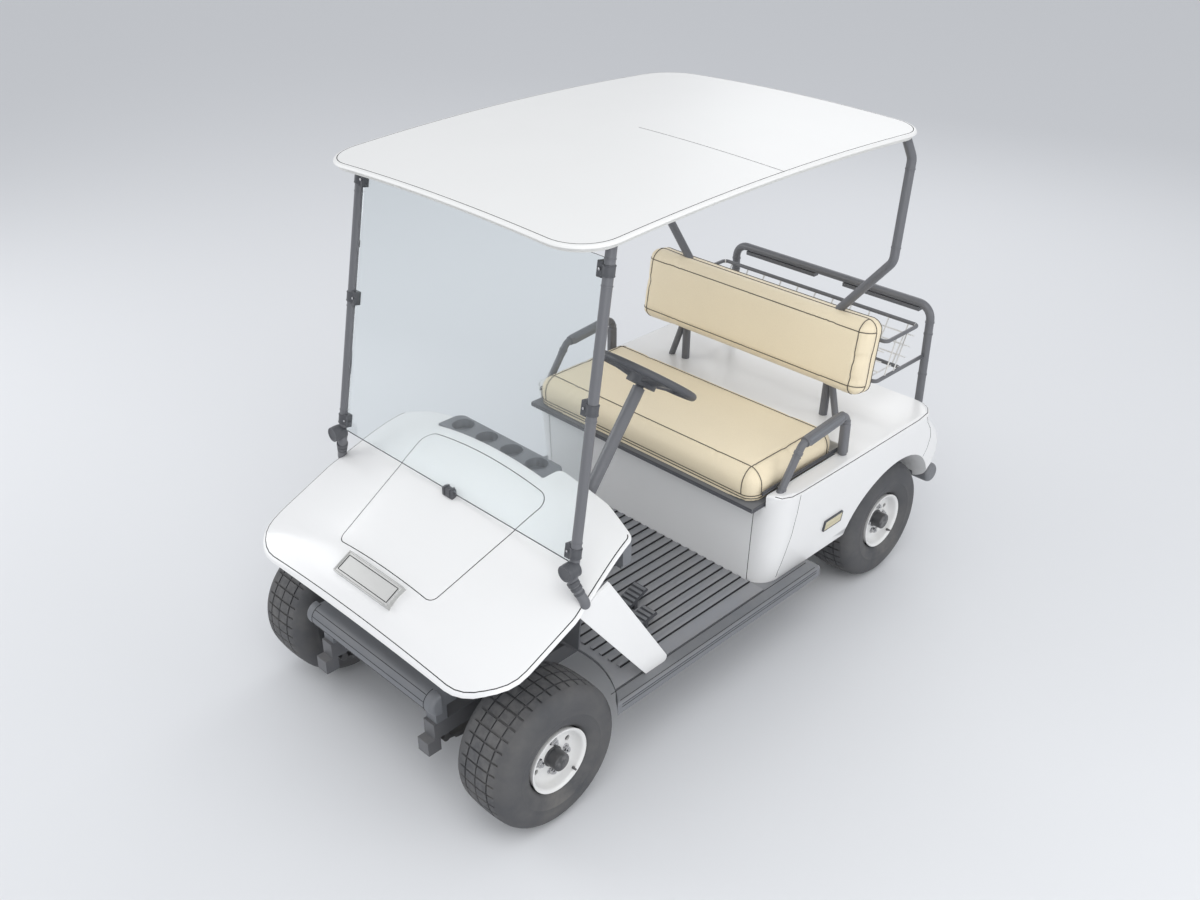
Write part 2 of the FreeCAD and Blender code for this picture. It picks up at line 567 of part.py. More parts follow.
# The dash tray lies in a notch of the cowl's rear edge.
tray_left, tray_right, tray_front, tray_depth, tray_high = -282, 200, 312, 92, 40
tray_low = "Sizes.tray_top - %g" % tray_high
tray_room = box("tray_room", tray_right - tray_left + 0.6, 200, 100, tray_left - 0.3,
                from_axle(tray_front - 0.3), tray_low + " - 0.3")
cowl_room = feature("cowl_room", cowl_sheet(size("cowl_thick") + 150.3, 150))
wall_top = 850
wall = side_profile("wall", [
    (from_axle(312), MAT_TOP), (from_axle(318), MAT_TOP), (from_axle(366), 780),
    (from_axle(366), wall_top), (from_axle(360), wall_top), (from_axle(360), 782)], 960, symmetric=True)
column_hole = box("column_hole", 64, 120, 130, "Sizes.column_x - 32", from_axle(300), 672)
foot_corner = box("foot_corner", 160, 130, 420, 335, from_axle(280), 240)
wall_cut = cut("front_wall", wall, column_hole, foot_corner, mirrored(foot_corner), tray_room, cowl_room)
stay = cut("stay", box("wall_stay", 26, 34, 120, 480, from_axle(328), 690), cowl_room)
node(fuse("front_wall_fuse", wall_cut, stay, mirrored(stay)), "front_wall")

sill = "Sizes.rocker_high + Sizes.gap"
kick = side_profile("kick", [
    (from_axle(105), 662), (from_axle(375), sill), (from_axle(478), sill), (from_axle(207), 738)], 7, 553)
kick_round = fillet("kick_round", kick, 14, lambda edge: along("x")(edge) and edge.BoundBox.YMin > -450)
node(both_sides("kicks", cut("kick_trim", kick_round, cowl_room)), "kick_panels")


# ---------------------------------------------------------------- front cowl and dash
def front_cowl():
    """Crowned sheet trimmed to the cowl's outline in plan."""
    front, axle = size("front_extent_y"), size("front_axle_y")
    half_outline = [(577, front, 160), (577, axle + 80, 150), (522, axle + 352, 30), (400, axle + 380, 120)]
    outline = half_outline + [(-x, y, radius) for x, y, radius in reversed(half_outline)]
    trim = rounded_outline(outline).extrude(V(0, 0, 600))
    trim.translate(V(0, 0, 450))
    return cowl_sheet(size("cowl_thick")).common(trim)


node(cut("cowl", feature("cowl_sheet", front_cowl()), tray_room), "front_cowl")

plate_low, plate_high = (-207, 632), (-143, 668)
plate_slope = math.degrees(math.atan2(plate_high[1] - plate_low[1], plate_high[0] - plate_low[0]))
plate = box("plate", 254, 74, 24, -127, from_axle(plate_low[0]), plate_low[1] - 16,
            FreeCAD.Rotation(V(1, 0, 0), plate_slope))
below_skin = feature("below_skin", cowl_sheet(size("cowl_thick") + 100 - size("gap"), size("gap")))
node(cut("name_plate", plate, below_skin), "nameplate")

cup_middle, first_cup, cup_pitch, cup_depth = tray_front + 49, -220, 113, 30
tray_box = box("tray_box", tray_right - tray_left, tray_depth, tray_high, tray_left,
               from_axle(tray_front), tray_low)
tray_round = fillet("tray_round", tray_box, 30, lambda edge: along("z")(edge) and edge.BoundBox.YMin > -520)
cups = [cylinder("cup_%d" % i, "Sizes.cup_radius", cup_depth + 5, first_cup + i * cup_pitch,
                 from_axle(cup_middle), "Sizes.tray_top - %g" % cup_depth) for i in range(4)]
node(cut("dash", tray_round, *cups), "dash_tray")

# ---------------------------------------------------------------- bumpers
half_round = cylinder("half_round", "Sizes.bumper_radius", "2 * Sizes.bumper_half_x + 24",
                      "-Sizes.bumper_half_x - 12", "Sizes.bumper_centre_y", "Sizes.bumper_height", ABOUT_X)
rounded_rod = fillet("bumper_round", half_round, 14, lambda edge: isinstance(edge.Curve, Part.Circle))
rod_back = box("rod_back", 700, 100, 100, -350, "Sizes.bumper_centre_y", "Sizes.bumper_height - 50")
slab_half = 282
slab = box("slab", 2 * slab_half, 72, "2 * Sizes.bumper_radius", -slab_half, "Sizes.bumper_centre_y",
           "Sizes.bumper_height - Sizes.bumper_radius")
bumper_foot = box("bumper_foot", "Sizes.rail_width", 40,
                  "Sizes.bumper_height - Sizes.bumper_radius - Sizes.rail_high",
                  "Sizes.rail_inner_x", from_axle(-190), "Sizes.rail_high + Sizes.gap")
front_half = cut("front_half", rounded_rod, rod_back)
node(fuse("bumper", front_half, slab, bumper_foot, mirrored(bumper_foot)), "front_bumper")

rear_half, rear_arm_y = 527, rail_rear + 0.3
rear_rod = cylinder("rear_rod", "Sizes.rear_bumper_radius", 2 * rear_half, -rear_half,
                    "Sizes.rear_extent_y - Sizes.rear_bumper_radius", "Sizes.rear_bumper_height", ABOUT_X)
rear_round = fillet("rear_round", rear_rod, 16, lambda edge: isinstance(edge.Curve, Part.Circle))
rear_arm = box("rear_arm", "Sizes.rail_width", 30, 80, "Sizes.rail_inner_x", from_axle(rear_arm_y),
               "Sizes.rail_low + Sizes.rail_rise - 30")
node(fuse("rear_bumper", rear_round, rear_arm, mirrored(rear_arm)), "rear_bumper")


# ---------------------------------------------------------------- rear body
# Columns: height, half width, y of the rear edge from the front axle, radius of the rear corners.
BODY_STATIONS = [(measure(MAT_LOW) + size("gap"), 532, 1948, 80), (371, 543, 2009, 80), (411, 549, 2015, 80),
                 (461, 557, 2000, 80), (509, 564, 1970, 80), (571, 574, 1908, 84), (608, 580, 1872, 90),
                 (size("deck_height") - 8, size("body_wide_x"), 1866, 95),
                 (size("deck_height"), size("body_wide_x") - 14, 1853, 88)]
FRONT_CORNER = 85


def body_solid(inset):
    """Solid of the body's outer form, drawn in by the inset on every side but the open bottom."""
    wires = []
    for index, (height, half_x, rear, corner) in enumerate(BODY_STATIONS):
        half, front, back = half_x - inset, size("pod_front_y") + inset, size("front_axle_y") + rear - inset
        face = rounded_outline([(-half, front, FRONT_CORNER - inset), (half, front, FRONT_CORNER - inset),
                                (half, back, corner - inset), (-half, back, corner - inset)])
        lowered = index == 0 or index >= len(BODY_STATIONS) - 2
        face.translate(V(0, 0, height - inset if lowered else height))
        wires.append(face.OuterWire)
    return Part.makeLoft(wires, True, True)


def rear_body():
    """Open-bottomed shell with a seat ledge, a battery hatch, two wheel arches and a well for the bags."""
    wall_thick, ledge, half = size("shell_wall"), size("seat_ledge"), size("seat_half_x") + 8
    axle = size("front_axle_y") + size("wheelbase")
    seat_front, seat_back = size("pod_front_y") - 100, size("lid_hinge_y") + 17
    hatch_half, hatch_front, hatch_back = 450, 92, 472
    well_half, well_front, well_deep = size("bag_well_half_x"), size("bag_well_front_y"), 300
    body, inside = body_solid(0), body_solid(wall_thick / 2)
    well = Part.makeBox(2 * well_half, well_deep, 800, V(-well_half, well_front, 0))
    liner = Part.makeBox(2 * (well_half + wall_thick), well_deep, 800,
                         V(-well_half - wall_thick, well_front - wall_thick, 0))
    seat_room = Part.makeBox(2 * half, seat_back - seat_front, 100, V(-half, seat_front, ledge))
    hatch = Part.makeBox(2 * hatch_half, hatch_back - hatch_front, 200, V(-hatch_half, hatch_front, ledge - 80))
    ledge_plate = Part.makeBox(2 * half, seat_back, wall_thick, V(-half, 0, ledge - wall_thick))
    back_wall = Part.makeBox(2 * half, wall_thick, 60, V(-half, seat_back, ledge - wall_thick))
    drums, arches = [], []
    for side in (1, -1):
        start = V(side * 290, axle, size("axle_height"))
        drums.append(Part.makeCylinder(size("arch_radius") + 6, 320, start, V(side, 0, 0)))
        arches.append(Part.makeCylinder(size("arch_radius"), 350, start, V(side, 0, 0)))
    shell = body.cut(body_solid(wall_thick)).cut(seat_room)
    shell = shell.fuse([ledge_plate.common(inside).cut(hatch), back_wall.common(inside), liner.common(inside)]
                       + [drum.common(inside) for drum in drums])
    notch_half = size("rail_inner_x") + size("rail_width") + 5
    notch_top = size("rail_high") + size("rail_rise") + 5
    rail_notch = Part.makeBox(2 * notch_half, 120, notch_top, V(-notch_half, well_front - 60, 0))
    bumper_top = size("rear_bumper_height") + size("rear_bumper_radius") + 7
    bumper_room = Part.makeBox(1400, 200, bumper_top, V(-700, 1058, 0))
    return biggest(shell.cut(arches + [well, rail_notch, bumper_room]))


node(feature("rear_body", rear_body()), "rear_body")

marker_y, marker_z, marker_high = 1258, 396, 36
side_slope = (BODY_STATIONS[3][1] - BODY_STATIONS[0][1]) / (BODY_STATIONS[3][0] - BODY_STATIONS[0][0])
marker_x = BODY_STATIONS[0][1] + side_slope * (marker_z - BODY_STATIONS[0][0]) + size("gap")
marker = box("marker", 6, 92, marker_high, marker_x, from_axle(marker_y), marker_z,
             FreeCAD.Rotation(V(0, 1, 0), math.degrees(math.atan(side_slope))))
node(both_sides("markers", marker), "side_markers")

# ---------------------------------------------------------------- seat
# The lid turns on two pins; each pin is held by two posts, and the lid's barrel lies between them
# on a lug behind the cushion.
post_thick, pin_half, barrel_half, pin_radius = 10, 30, 17, 4
post_high = "Sizes.lid_hinge_z - Sizes.seat_ledge + 5 - Sizes.gap"
seat_board = box("seat_board", "2 * Sizes.seat_half_x", "Sizes.seat_depth", "Sizes.seat_pan_thick",
                 "-Sizes.seat_half_x", "Sizes.seat_front_y", "Sizes.seat_ledge + Sizes.gap")
posts, barrels, bores, notches = [], [], [], []
for middle in (320, -320):
    for edge in (middle - pin_half, middle + pin_half - post_thick):
        posts.append(box("hinge_post", post_thick, 10, post_high, edge, "Sizes.lid_hinge_y - 5",
                         "Sizes.seat_ledge + Sizes.gap"))
        notches.append(box("post_notch", post_thick + 1.2, 20, 40, edge - 0.6, "Sizes.lid_hinge_y - 12",
                           "Sizes.seat_ledge - 10"))
    barrels.append(box("lid_lug", 2 * barrel_half, 13, "Sizes.lid_hinge_z - Sizes.seat_ledge - 5",
                       middle - barrel_half, "Sizes.lid_hinge_y - 9", "Sizes.seat_ledge + 5"))
    for made, radius, half in ((posts, pin_radius, pin_half), (barrels, 7, barrel_half),
                               (bores, pin_radius + 0.05, pin_half)):
        made.append(cylinder("hinge_round", radius, 2 * half, middle - half, "Sizes.lid_hinge_y",
                             "Sizes.lid_hinge_z", ABOUT_X))
node(cut("lid_board", fuse("board_and_barrels", seat_board, *barrels), *bores, *notches), "seat_pan")
node(fuse("hinges", *posts), "seat_hinges")

cushion_box = box("cushion_box", "2 * Sizes.seat_half_x - 8", "Sizes.seat_depth - 8", "Sizes.cushion_thick",
                  "4 - Sizes.seat_half_x", "Sizes.seat_front_y + 4",
                  "Sizes.seat_ledge + Sizes.seat_pan_thick + 2 * Sizes.gap")
upright = fillet("cushion_corners", cushion_box, 45, along("z"))
node(fillet("cushion_round", upright, 30, lambda edge: edge.BoundBox.ZMin > 720), "seat_cushion")

# Hip restraints: a bent tube from the body's rim with a thick grip on its level run.
hip_x, hip_foot = 536, size("deck_height") + size("gap")
hip_route = [V(hip_x, 108, hip_foot - 20), V(hip_x, 218, 784), V(hip_x, 456, 806), V(hip_x, 456, hip_foot - 20)]
grip_ends = [hip_route[1] + (hip_route[2] - hip_route[1]) * share for share in (0.1, 0.86)]
hip = tube_shape(hip_route, size("hip_tube_radius")).fuse(tube_shape(grip_ends, size("hip_tube_radius") + 4))
below_deck = Part.makeBox(200, 1200, 200, V(hip_x - 100, 0, hip_foot - 200))
node(feature("hip_pair", with_mirror(hip.cut(below_deck))), "hip_restraints")


# ---------------------------------------------------------------- roof and its struts
def roof_sheet(thick, drop=0.0):
    """The roof's arched and crowned sheet before it is trimmed, lowered by the drop."""
    front, rear, crown = size("roof_front_y"), size("roof_rear_y"), size("roof_crown")
    stations = [(front - 10, size("roof_edge_front")), ((front + rear) / 2, size("roof_edge_mid")),
                (rear + 10, size("roof_edge_rear"))]
    wires = [crowned_section(y, z + crown - drop, crown, size("roof_half_x") + 20, thick) for y, z in stations]
    return Part.makeLoft(wires, True, False)


def roof_shape():
    """Arched sheet with rounded corners."""
    half, corner = size("roof_half_x"), size("roof_corner")
    front, rear = size("roof_front_y"), size("roof_rear_y")
    trim = rounded_outline([(-half, front, corner), (half, front, corner), (half, rear, corner),
                            (-half, rear, corner)]).extrude(V(0, 0, 300))
    trim.translate(V(0, 0, 1560))
    return roof_sheet(size("roof_thick")).common(trim)


node(feature("roof", roof_shape()), "roof")
above_underside = roof_sheet(200, size("roof_thick") + size("gap") - 200)

# Rear struts: up behind the seat back, out to the cart's side and up again to the roof.
deck = size("deck_height") + size("gap")
STRUT_ROUTE = [(322, 638, deck - 20), (330, 654, 1045), (519, 652, 1270), (510, 700, 1593), (496, 655, 1690)]
strut_route = [V(*corner) for corner in STRUT_ROUTE]
rear_strut = tube_shape(strut_route, size("rear_strut_radius"), 45)
brace = tube_shape([V(390, 628, deck - 20), V(330, 646, 830)], size("brace_radius"))
below = Part.makeBox(400, 400, 200, V(200, 450, deck - 200))
rear_strut = biggest(rear_strut.fuse(brace).cut([below, above_underside]))
node(feature("rear_strut_pair", with_mirror(rear_strut)), "rear_struts")

# The seat back, with a channel for each strut that passes through it.
back_box = box("back_box", "2 * Sizes.back_half_x", "Sizes.back_thick", "Sizes.back_height",
               "-Sizes.back_half_x", "Sizes.back_low_y", "Sizes.back_low_z",
               FreeCAD.Rotation(V(1, 0, 0), -size("back_lean")))
back_round = fillet("back_round", back_box, 38, lambda edge: True)
channel_radius = size("rear_strut_radius") + size("gap")
channel = tube_shape(strut_route, channel_radius, 45).fuse(
    tube_shape([V(390, 628, deck - 20), V(330, 646, 830)], size("brace_radius") + size("gap")))
node(cut("back", back_round, feature("strut_channels", with_mirror(channel))), "backrest_cushion")

# ---------------------------------------------------------------- bag rack and basket
shelf_low = size("rail_high") + size("rail_rise") + size("gap")
shelf_thick = 8
node(box("shelf", "2 * Sizes.bag_well_half_x - 10", 61, shelf_thick, "5 - Sizes.bag_well_half_x",
         "Sizes.bag_well_front_y + 6", shelf_low), "bag_shelf")
post_y = size("rear_extent_y") - size("bag_set_back")
post_x, bar_z = size("bag_post_x"), size("bag_bar_z")
post_foot = shelf_low + shelf_thick + size("gap")
bag_bar = tube_shape([V(post_x, post_y, post_foot), V(post_x, post_y, bar_z), V(-post_x, post_y, bar_z),
                      V(-post_x, post_y, post_foot)], size("bag_tube_radius"), 52)
pad_length, pad_starts = 330, (-387, 72)
pads = [Part.makeBox(pad_length, 26, 14, V(x, post_y - 13, bar_z - 27.5)) for x in pad_starts]
node(feature("bag_bar", bag_bar.fuse(pads)), "bag_frame")

tube_r, wire_r = size("basket_tube_radius"), size("basket_wire_radius")
half_x, rim_z, low_z = size("basket_half_x"), size("basket_rim_z"), size("basket_low_z")
# Columns: name, y of the front and of the rear edge, height.
LOOPS = {"rim": (800.0, 998.0, rim_z), "low": (760.0, 918.0, low_z)}


def closed_loop(front, rear, height):
    """Bar bent into a closed level frame."""
    corners = [V(half_x, front, height), V(half_x, rear, height),
               V(-half_x, rear, height), V(-half_x, front, height)]
    middle = V(0, front, height)
    return tube_shape([middle] + corners + [middle], tube_r, 18)


def wire(start, end):
    return tube_shape([start, end], wire_r)


def between(low, high, share):
    return low + (high - low) * share


rim, low = LOOPS["rim"], LOOPS["low"]
arm_end = post_y - size("bag_tube_radius") - 0.3
arms = [tube_shape([V(s * half_x, low[1] - 20, low_z), V(s * half_x, arm_end, low_z)], tube_r) for s in (1, -1)]
ties = [tube_shape([V(s * 322, low[0], low_z), V(s * 322, 650 + size("rear_strut_radius") + 3, low_z)], tube_r)
        for s in (1, -1)]
wires = []
count = int(half_x // size("wire_pitch"))
for index in range(-count, count + 1):
    x = index * size("wire_pitch")
    wires += [wire(V(x, rim[1], rim_z), V(x, low[1], low_z)), wire(V(x, low[1], low_z), V(x, low[0], low_z)),
              wire(V(x, low[0], low_z), V(x, rim[0], rim_z))]
for share in (0.25, 0.5, 0.75):
    height = between(low_z, rim_z, share)
    for low_y, high_y in ((low[1], rim[1]), (low[0], rim[0])):
        y = between(low_y, high_y, share)
        wires.append(wire(V(-half_x, y, height), V(half_x, y, height)))
for side in (1, -1):
    for share in (0.33, 0.67):
        wires.append(wire(V(side * half_x, between(low[0], low[1], share), low_z),
                          V(side * half_x, between(rim[0], rim[1], share), rim_z)))
basket = closed_loop(*rim).fuse([closed_loop(*low)] + arms + ties + wires)
node(feature("basket_wires", basket), "basket")

# ---------------------------------------------------------------- front struts and windshield
# The struts stand on the cowl's side lip, lean back and end under the roof.
strut_low, strut_high = point(528, 117, 806), point(509, 272, 1650)
strut_run = strut_high - strut_low
strut_turn = FreeCAD.Rotation(V(0, 0, 1), strut_run)
foot_route = [point(565, 126, 640), point(562, 124, 704),
              strut_low - strut_run * 0.05, strut_low + strut_run * 1.06]
front_strut = tube_shape(foot_route, size("front_strut_radius"), 24)
lip = Part.makeCompound([cowl_sheet(size("cowl_thick") + 2 * size("gap"), size("gap")), above_underside])
node(feature("front_strut_pair", with_mirror(biggest(front_strut.cut(lip)))), "front_struts")


def windshield():
    """Flat pane between the struts; its level lower edge stands just above the cowl."""
    lean_angle = math.degrees(math.atan2(strut_run.y, strut_run.z))
    inside = size("front_strut_radius") + 3
    low_half, high_half = strut_low.x - inside, strut_high.x - inside
    low, top = 812 - strut_low.z, 1640 - strut_low.z
    corners = [V(low_half, 0, low), V(high_half, 0, top), V(-high_half, 0, top), V(-low_half, 0, low)]
    pane = Part.Face(Part.makePolygon(corners + corners[:1])).extrude(V(0, size("glass_thick"), 0))
    pane.rotate(V(0, 0, 0), V(1, 0, 0), -lean_angle)
    pane.translate(V(0, strut_low.y, strut_low.z))
    return pane


node(feature("pane", windshield()), "windshield")

# Clamps that hold the pane to the struts, and a knob at each strut's foot.
strut_channel = Part.makeCylinder(size("front_strut_radius") + size("gap"), 1200,
                                  strut_low - strut_run * 0.2, strut_run)
clamps = []
for share in (0.05, 0.52, 0.94):
    clamp = Part.makeBox(40, 34, 46, V(-25, -17, -23))
    clamp = clamp.transformed(FreeCAD.Placement(strut_low + strut_run * share, strut_turn).toMatrix())
    clamps.append(biggest(clamp.cut([strut_channel, windshield()])))
knob = Part.makeCylinder(size("knob_radius"), 44, strut_low + V(3, -40, -2), V(0, 1, 0))
clamps.append(biggest(knob.cut([strut_channel, windshield()] + clamps)))
node(feature("clamp_set", Part.makeCompound([with_mirror(clamp) for clamp in clamps])), "windshield_clamps")

# ---------------------------------------------------------------- pedals
tread_foot = MAT_TOP + " + Sizes.rib_height + Sizes.gap"
brake_pad = box("brake_pad", 56, 86, 8, 267, from_axle(557), 320, FreeCAD.Rotation(V(1, 0, 0), 22))
brake_leg = box("brake_leg", 56, 14, 26, 267, from_axle(575), tread_foot)
gas_pad = box("gas_pad", 57, 74, 8, 355, from_axle(511), 322, FreeCAD.Rotation(V(1, 0, 0), 8))
gas_leg = box("gas_leg", 57, 14, 20, 355, from_axle(530), tread_foot)
node(group("pedal_group", fuse("brake", brake_pad, brake_leg), fuse("gas", gas_pad, gas_leg)), "pedals")

# ---------------------------------------------------------------- checks and export
doc.recompute()
for obj in doc.Objects:
    if "Invalid" in obj.State or "Error" in obj.State:
        raise RuntimeError("%s did not build" % obj.Label)
for obj in NODES:
    if obj.Shape.isNull() or not obj.Shape.isValid() or not obj.Shape.Solids:
        raise RuntimeError("%s has no valid solid" % obj.Label)
os.makedirs("parts", exist_ok=True)
for obj in NODES:
    obj.Shape.exportStep("parts/%s.step" % obj.Label)
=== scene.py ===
# %% [markdown]
# # A two-seat golf cart
# The cart stands on its four tyres, faces -Y and has its left side towards +X. The packed
# CAD model is the frame: it fixes every place and size, so the pieces made here are put
# round it and nothing is fitted by eye. All lengths are in metres.

# %% Load the frame
import json
import math
import bmesh
import bpy
from mathutils import Matrix, Vector
from mathutils.bvhtree import BVHTree


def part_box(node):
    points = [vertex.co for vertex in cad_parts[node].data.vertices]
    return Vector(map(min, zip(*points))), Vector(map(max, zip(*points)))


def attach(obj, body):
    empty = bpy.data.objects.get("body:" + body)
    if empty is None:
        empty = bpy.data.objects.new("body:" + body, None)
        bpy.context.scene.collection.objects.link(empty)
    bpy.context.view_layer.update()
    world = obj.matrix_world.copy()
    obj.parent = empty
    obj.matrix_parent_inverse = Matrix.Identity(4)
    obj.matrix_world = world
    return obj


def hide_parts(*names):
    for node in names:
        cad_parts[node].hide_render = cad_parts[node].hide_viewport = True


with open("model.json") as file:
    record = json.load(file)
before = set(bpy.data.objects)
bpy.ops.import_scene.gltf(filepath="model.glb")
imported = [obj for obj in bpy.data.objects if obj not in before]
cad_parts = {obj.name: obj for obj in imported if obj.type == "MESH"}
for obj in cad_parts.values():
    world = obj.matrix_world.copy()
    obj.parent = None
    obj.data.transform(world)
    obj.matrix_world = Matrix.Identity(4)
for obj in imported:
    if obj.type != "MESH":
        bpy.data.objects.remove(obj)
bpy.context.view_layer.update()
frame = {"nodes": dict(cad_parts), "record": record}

nodes = frame["nodes"]
for packed in list(bpy.data.materials):
    bpy.data.materials.remove(packed)

# %% [markdown]
# ## Camera, floor and light
# A picture is made of what the camera sees, so the view comes first. The camera looks down
# from the cart's front left corner. Soft lamps act as a studio: a large one above for the main
# light, wide ones at the sides and a low one to open the shadows, one behind for the edges.

# %% Camera
VIEW_AZIMUTH, VIEW_ELEVATION = 45.0, 30.0
bpy.ops.object.select_all(action="DESELECT")
bpy.ops.object.camera_add(location=(2.4799, -2.6273, 2.7191))
camera = bpy.context.object
camera.name = "camera"
camera.rotation_euler = (math.radians(90 - VIEW_ELEVATION), 0, math.radians(VIEW_AZIMUTH))
camera.data.lens = 37.15
camera.data.sensor_width = 36.0
camera.data.clip_end = 400
bpy.context.scene.camera = camera
print("camera lens", round(camera.data.lens, 2))


# %% Floor
def feed(tree, socket, source):
    """Links a socket to its source, or sets it where the source is a plain value."""
    if isinstance(source, bpy.types.NodeSocket):
        tree.links.new(source, socket)
    else:
        socket.default_value = source


def new_material(name):
    """A material that shades by nodes."""
    made = bpy.data.materials.new(name)
    made.use_nodes = True
    return made


def shaded(made, **inputs):
    """Feeds the shader of a material; an underscore in a name stands for a space."""
    shader = made.node_tree.nodes["Principled BSDF"]
    for label, source in inputs.items():
        feed(made.node_tree, shader.inputs[label.replace("_", " ")], source)
    return made


bpy.ops.mesh.primitive_plane_add(size=300, location=(0, 0, -0.0005))
floor = bpy.context.object
floor.name = "studio_floor"
paper = shaded(new_material("floor_paper"), Base_Color=(0.76, 0.77, 0.785, 1), Roughness=0.9)
floor.data.materials.append(paper)
print("floor", floor.name)

# %% Lamps and air
# Columns: name, place, point looked at, width and height, watts.
LAMPS = [
    ("key_lamp", (2.6, -2.2, 5.2), (0, 0, 0.6), (3.4, 3.4), 82),
    ("fill_lamp", (-4.6, -3.0, 2.8), (0, 0, 0.6), (3.6, 2.6), 70),
    ("side_lamp", (4.8, 1.4, 2.2), (0, 0, 0.5), (3.0, 2.2), 42),
    ("low_lamp", (3.8, -3.0, 1.5), (0, 0, 0.45), (2.8, 1.6), 28),
    ("back_lamp", (-1.8, 4.8, 3.6), (0, 0, 0.8), (3.2, 2.2), 40),
]
for name, place, target, (wide, high), watts in LAMPS:
    bpy.ops.object.light_add(type="AREA", location=place)
    lamp = bpy.context.object
    lamp.name = name
    lamp.data.shape = "RECTANGLE"
    lamp.data.size, lamp.data.size_y = wide, high
    lamp.data.energy = watts
    lamp.rotation_euler = (Vector(target) - Vector(place)).to_track_quat("-Z", "Y").to_euler()

bpy.context.scene.view_settings.view_transform = "Standard"
world = bpy.data.worlds.new("studio_air")
world.use_nodes = True
air = world.node_tree.nodes["Background"].inputs
air["Color"].default_value = (0.94, 0.96, 1.0, 1)
air["Strength"].default_value = 0.71
bpy.context.scene.world = world
print("lamps", len(LAMPS))

# %% [markdown]
# ## Effects that several finishes share
# Moulded plastic, powder coat and rubber all carry the same few effects at different
# strengths: a fine grain, a slow change of tone, pale rubbed edges and dust that settles low
# down. They could be painted on each piece. As node groups with named inputs, each effect is
# made once and placed in every material with its own values.

# %% Node helpers
def add(tree, kind, inputs, **settings):
    """A node with its settings; inputs pairs an input's name or number with what feeds it."""
    made = tree.nodes.new(kind)
    for key, value in settings.items():
        setattr(made, key, value)
    for key, source in inputs.items():
        feed(tree, made.inputs[key], source)
    return made


def place_on(tree):
    """Object coordinates, so that a pattern stays with its piece."""
    return add(tree, "ShaderNodeTexCoord", {}).outputs["Object"]


def clouds(tree, **inputs):
    """Soft noise on the object's coordinates, unless another Vector is given."""
    if "Vector" not in inputs:
        inputs["Vector"] = place_on(tree)
    return add(tree, "ShaderNodeTexNoise", inputs).outputs["Fac"]


def maths(tree, operation, first, second, clamp=False):
    """One arithmetic step on two sockets or numbers."""
    made = add(tree, "ShaderNodeMath", {0: first, 1: second}, operation=operation, use_clamp=clamp)
    return made.outputs[0]


def stretch(tree, value, low, high, new_low=0.0, new_high=1.0):
    """Maps low..high to new_low..new_high and clamps."""
    inputs = {"Value": value, "From Min": low, "From Max": high, "To Min": new_low, "To Max": new_high}
    return add(tree, "ShaderNodeMapRange", inputs).outputs[0]


def blend_colours(tree, amount, first, second, kind="MIX"):
    """Colour mix; first and second are sockets or colours."""
    return add(tree, "ShaderNodeMix", {0: amount, 6: first, 7: second}, data_type="RGBA",
               blend_type=kind).outputs[2]


def raised(tree, height, strength, distance):
    """Normal of a surface that a height raises a little."""
    inputs = {"Height": height, "Strength": strength, "Distance": distance}
    return add(tree, "ShaderNodeBump", inputs).outputs["Normal"]


def new_group(name, output, **inputs):
    """An empty node group with its inputs' start values: the tree, its inputs, its one output."""
    tree = bpy.data.node_groups.new(name, "ShaderNodeTree")
    for label, value in inputs.items():
        kind = "NodeSocketColor" if isinstance(value, tuple) else "NodeSocketFloat"
        socket = tree.interface.new_socket(label, in_out="INPUT", socket_type=kind)
        socket.default_value = value
    kind = "NodeSocketColor" if output == "Color" else "NodeSocketFloat"
    tree.interface.new_socket(output, in_out="OUTPUT", socket_type=kind)
    given = tree.nodes.new("NodeGroupInput").outputs
    return tree, given, tree.nodes.new("NodeGroupOutput").inputs[output]


print("node helpers ready")


# %% Grain and tone
def grain_group():
    """Fine bumps of moulded or sprayed surfaces: broad softness plus small pits."""
    tree, given, height = new_group("grain", "Height", Scale=400.0, Pits=0.5)
    soft = clouds(tree, Scale=given["Scale"], Detail=3.0, Roughness=0.6)
    pits = add(tree, "ShaderNodeTexVoronoi", {"Vector": place_on(tree), "Scale": given["Scale"]},
               feature="SMOOTH_F1").outputs["Distance"]
    feed(tree, height, maths(tree, "ADD", soft, maths(tree, "MULTIPLY", pits, given["Pits"])))
    return tree


def tone_group():
    """Slow change of tone over a surface, so that no large face is one flat colour."""
    tree, given, colour = new_group("tone", "Color", Color=(0.8, 0.8, 0.8, 1), Scale=3.0, Amount=0.06)
    soft = clouds(tree, Scale=given["Scale"], Detail=5.0, Roughness=0.55)
    shade = maths(tree, "SUBTRACT", 1.0, maths(tree, "MULTIPLY", soft, given["Amount"]))
    grey = add(tree, "ShaderNodeCombineColor", {0: shade, 1: shade, 2: shade}).outputs[0]
    feed(tree, colour, blend_colours(tree, 1.0, given["Color"], grey, "MULTIPLY"))
    return tree


print("grain and tone ready")


# %% Rubbed edges and dust
def edge_group():
    """Mask of rubbed convex edges, broken up so that it isn't an even line."""
    tree, given, mask = new_group("edge_wear", "Mask", From=0.52, To=0.62)
    bend = add(tree, "ShaderNodeNewGeometry", {}).outputs["Pointiness"]
    rim = stretch(tree, bend, given["From"], given["To"])
    breaks = stretch(tree, clouds(tree, Scale=60.0, Detail=4.0), 0.4, 0.62)
    feed(tree, mask, maths(tree, "MULTIPLY", rim, breaks, True))
    return tree


